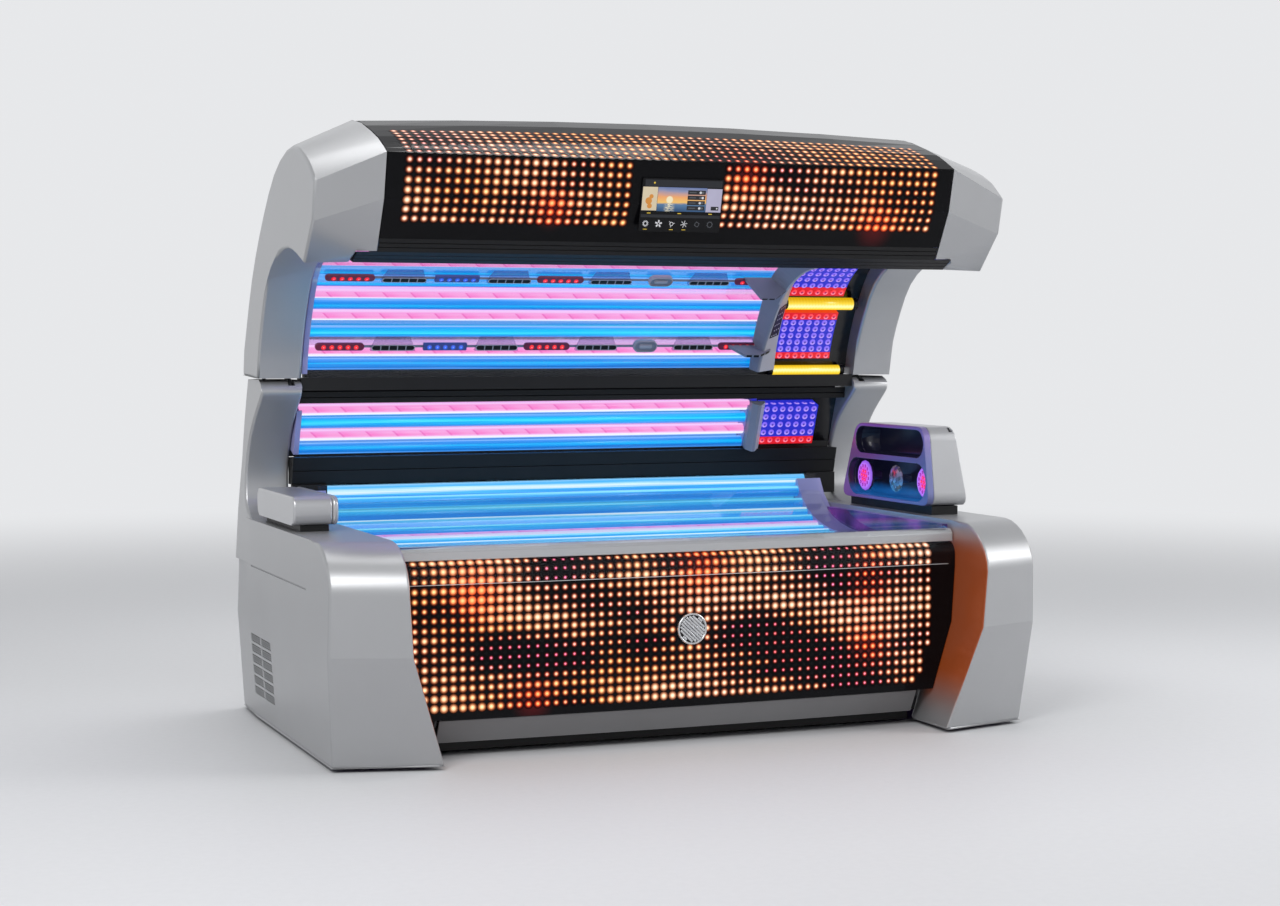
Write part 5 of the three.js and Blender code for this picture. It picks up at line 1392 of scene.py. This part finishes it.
def console_lights():
    beads, tints = [], []
    for node in ("console_light_rear", "console_light_front"):
        low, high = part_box(node)
        middle = ((low.y + high.y) / 2, (low.z + high.z) / 2)
        for ring, count in ((0.0, 1), (0.017, 6), (0.035, 12)):
            for spot in circle(ring, count, middle, ring * 8):
                beads.append((Vector((low.x - 0.0004, *spot)), (-1.0, 0.0, 0.0), (0.006, 0.006, 0.0022)))
                tints.append((1.0, 0.01, 0.1) if ring < 0.02 else (0.3, 0.01, 0.45))
    stamped("console_light_lenses", DISCS, beads, "base", "console_light", MODULE_LIGHT, 12, tint=tints)


console_lights()


# Control display

ICON_RISE = 0.0008
# Place along the display, rays, inner and outer radius of the ring, end and half width of a ray, and colour
ICONS = (
    (-0.116, 12, 0.0052, 0.0072, 0.0102, 0.0008, WHITE), (-0.072, 5, 0.003, 0.0045, 0.0115, 0.0024, WHITE),
    (-0.028, 3, 0.0045, 0.0062, 0.011, 0.0008, WHITE), (0.014, 6, 0.0016, 0.003, 0.0115, 0.0008, WHITE),
    (0.058, 4, 0.006, 0.0074, 0.0095, 0.0008, GREY_MARK), (0.102, 8, 0.0075, 0.009, 0.0108, 0.0008, GREY_MARK))


def icon(build, patch, a, b, rays, inner, outer, far, half, paint):
    """A plain round symbol: a ring with rays, petals or spokes."""
    rings = [
        [patch.at(*spot, rise) for spot in circle(radius, 20, (a, b))]
        for radius, rise in ((inner, 0.0), (inner, ICON_RISE), (outer, ICON_RISE), (outer, 0.0))]
    build.loop(rings + rings[:1], paint)
    near = outer + 0.0004
    for k in range(rays):
        turn = Matrix.Rotation(math.tau * k / rays + 0.26, 2)
        corners = [turn @ Vector(c) for c in rectangle(near, far, -half, half)]
        build.prism(patch, [(a + c.x, b + c.y) for c in corners], 0.0, ICON_RISE, 0.0, paint)


def display():
    patch = Patch(*Surface("control_display").hit((0.0, -2.0, 1.681), (0.0, 1.0, 0.0)))
    build = Build(BEZEL, SCREEN_DARK, PICTURE, CREAM, LILAC, WHITE, YELLOW_MARK, GREY_MARK, ORANGE)

    def card(a0, a1, b0, b1, paint, rise=0.0006, corner=0.0):
        outline = rectangle(a0, a1, b0, b1)
        if corner:
            outline = rounded(a1 - a0, b1 - b0, corner, 4, ((a0 + a1) / 2, (b0 + b1) / 2))
        build.prism(patch, outline, 0.0, rise, 0.0, paint)

    card(-0.137, 0.137, -0.0835, 0.0835, BEZEL, 0.0003, 0.004)
    card(-0.128, 0.132, 0.058, 0.079, SCREEN_DARK, 0.0005)
    card(-0.1, -0.094, 0.066, 0.072, YELLOW_MARK, 0.0008, 0.0029)
    card(-0.134, -0.084, -0.018, 0.056, CREAM)
    for a, b, r in ((-0.112, 0.012, 0.011), (-0.104, 0.026, 0.007), (-0.108, -0.004, 0.008)):
        card(a - r, a + r, b - r, b + r, ORANGE, 0.0008, r * 0.98)
    card(-0.083, 0.082, -0.02, 0.056, PICTURE)
    for row in range(4):
        base = 0.0345 - row * 0.0165
        card(0.018, 0.078, base, base + 0.0135, SCREEN_DARK, 0.0009)
        card(0.023, 0.046, base + 0.0055, base + 0.008, GREY_MARK, 0.0011)
        card(0.057, 0.073, base + 0.0035, base + 0.01, GREY_MARK, 0.0011, 0.0031)
        knob = 0.069 if row == 1 else 0.0605
        card(knob - 0.0038, knob + 0.0038, base + 0.003, base + 0.0105, WHITE, 0.0014, 0.0036)
    card(0.083, 0.134, -0.02, 0.054, LILAC)
    card(0.1, 0.126, -0.014, -0.002, SCREEN_DARK, 0.0009)
    card(0.118, 0.123, -0.0105, -0.0055, WHITE, 0.0012, 0.0024)
    for a in (-0.108, -0.005, 0.1):
        card(a - 0.006, a + 0.006, -0.0275, -0.025, YELLOW_MARK)
    card(-0.134, 0.134, -0.04, -0.0305, SCREEN_DARK, 0.0005)
    for a, *form in ICONS:
        icon(build, patch, a, -0.0595, *form)
    for a in (-0.116, -0.028, 0.014):
        card(a - 0.0065, a + 0.0065, -0.0785, -0.0765, YELLOW_MARK)
    build.ready("control_display_screen", "canopy", "gloss_black")


display()


# Medallion

RIBS = 10
RIB_LEAN = -43.0
# How far inside the rim, and how high, the points of the turned rim lie
RIM_PROFILE = ((0.0, 0.0), (0.0, 0.0095), (0.0015, 0.0125), (0.004, 0.0135), (0.0065, 0.0125), (0.0072, 0.0085))


def medallion():
    """Turned disc with a raised rim and slanted ribs across it."""
    low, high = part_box("panel_medallion")
    radius = (high.z - low.z) / 2
    patch = Patch((0.0, high.y, (low.z + high.z) / 2), (0.0, -1.0, 0.0))
    build = Build(STEEL, RIBBED, PIT)
    lines = build.loop(
        [[patch.at(*spot, rise) for spot in circle(radius - inside, 64)] for inside, rise in RIM_PROFILE], smooth=True)
    build.cap(lines[-1], PIT)
    build.cap(lines[0][::-1])
    inner = radius - 0.0076
    turn = Matrix.Rotation(math.radians(RIB_LEAN), 2)
    pitch = 2 * inner / RIBS
    for k in range(RIBS):
        across = -inner + pitch * (k + 0.5)
        near, far = across - pitch * 0.4, across + pitch * 0.4
        reach = math.sqrt(max(0.0, inner ** 2 - max(abs(near), abs(far)) ** 2))
        if reach >= 0.004:
            corners = [tuple(turn @ Vector(c)) for c in rectangle(-reach, reach, near, far)]
            build.prism(patch, corners, 0.0086, 0.0128, 0.0009, RIBBED)
    build.ready("panel_medallion_disc", "base", "bright_steel", "panel_medallion")


medallion()


# Rear of the bed


def rear_vents():
    """Vent slats and screws on the back panel."""
    panel = Surface("back_panel")
    slats, screws = [], []
    for x0 in (-0.62, 0.0, 0.62):
        for row in range(12):
            for column in range(4):
                x = x0 + (column - 1.5) * 0.088
                hit = panel.hit((x, 2.0, 0.16 + row * 0.016), (0.0, -1.0, 0.0))
                if hit:
                    slats.append((hit[0] + hit[1] * 0.0002, hit[1], (0.078, 0.0075, 0.0012)))
    for x in (-0.93, -0.62, -0.31, 0.0, 0.31, 0.62, 0.93):
        for z in (0.37, 0.55, 0.78, 1.085):
            hit = panel.hit((x * (0.93 if z < 0.5 else 1.0), 2.0, z), (0.0, -1.0, 0.0))
            if hit:
                screws.append((*hit, (0.007, 0.007, 0.003)))
    stamped("back_panel_vents", BLOCKS, slats, "base", "satin_black", PIT)
    stamped("back_panel_screws", BEADS, screws, "base", "bright_steel", STEEL, 10)


rear_vents()


# Studio

AIR_COLOUR = (0.93, 0.94, 0.96, 1.0)
FLOOR_RADIUS = 11.0
BEND_RADIUS = 3.0
BEND_STEPS = 12
# Name, place, aim, size and power
LIGHTS = (
    ("key_light", (-4.2, -4.6, 4.6), (0.0, 0.0, 0.9), 2.6, 190.0),
    ("side_light", (5.2, -2.6, 3.0), (0.4, 0.0, 0.9), 2.4, 120.0),
    ("top_light", (0.0, 0.6, 5.2), (0.0, 0.0, 1.0), 3.2, 110.0))


def studio_floor_paint():
    """Pale floor that fades into the air far from the bed."""
    f = Finish("studio_floor_paint")
    x, y, _ = f.along()
    colour = f.between(f.noise(40.0, 3.0), (0.66, 0.665, 0.68), (0.7, 0.705, 0.72))
    shown = sum(f.node("ShaderNodeLightPath", out=("Is Camera Ray", "Is Glossy Ray", "Is Transmission Ray")))
    air = f.node("ShaderNodeEmission", {"Color": AIR_COLOUR, "Strength": 0.86})
    far = f.step(distance(x, y), 3.2, 10.0)
    return f.done(f.blend(far * shown.clipped(), f.skin(colour, 0.55, specular_ior_level=0.25), air))


def studio_sweep():
    """Round floor that bends up into a wall."""
    bends = [i * math.pi / 2 / BEND_STEPS for i in range(1, BEND_STEPS + 1)]
    profile = [(0.5, 0.0), (FLOOR_RADIUS, 0.0)]
    profile += [(FLOOR_RADIUS + BEND_RADIUS * math.sin(a), BEND_RADIUS * (1 - math.cos(a))) for a in bends]
    profile.append((FLOOR_RADIUS + BEND_RADIUS, 9.0))
    build = Build(studio_floor_paint())
    lines = build.loop([[(*spot, z) for spot in circle(r, 96)] for r, z in reversed(profile)], smooth=True)
    build.cap(lines[-1])
    sweep = linked("studio_sweep", build.mesh("studio_sweep"))


def studio():
    scene = bpy.context.scene
    scene.view_settings.view_transform = "Standard"
    world = bpy.data.worlds.new("studio_air")
    scene.world = world
    world.use_nodes = True
    g = Graph(world.node_tree)
    g.tree.nodes.clear()
    level = 0.55 + g.node("ShaderNodeLightPath", out="Is Camera Ray") * 0.3
    g.node("ShaderNodeOutputWorld", {
        "Surface": g.node("ShaderNodeBackground", {"Color": AIR_COLOUR, "Strength": level})})
    studio_sweep()

    for name, place, aim, size, power in LIGHTS:
        lamp = bpy.data.lights.new(name, "AREA")
        lamp.shape = "SQUARE"
        lamp.size = size
        lamp.energy = power
        thing = linked(name, lamp)
        thing.location = place
        thing.rotation_euler = (Vector(aim) - Vector(place)).to_track_quat("-Z", "Y").to_euler()

    lens = bpy.data.cameras.new("photo_camera")
    lens.lens = 63.70
    lens.sensor_fit = "HORIZONTAL"
    camera = linked("photo_camera", lens)
    camera.location = (-2.770, -6.975, 1.268)
    camera.rotation_euler = (math.radians(90 - 2.909), 0.0, math.radians(-21.931))
    scene.camera = camera


studio()
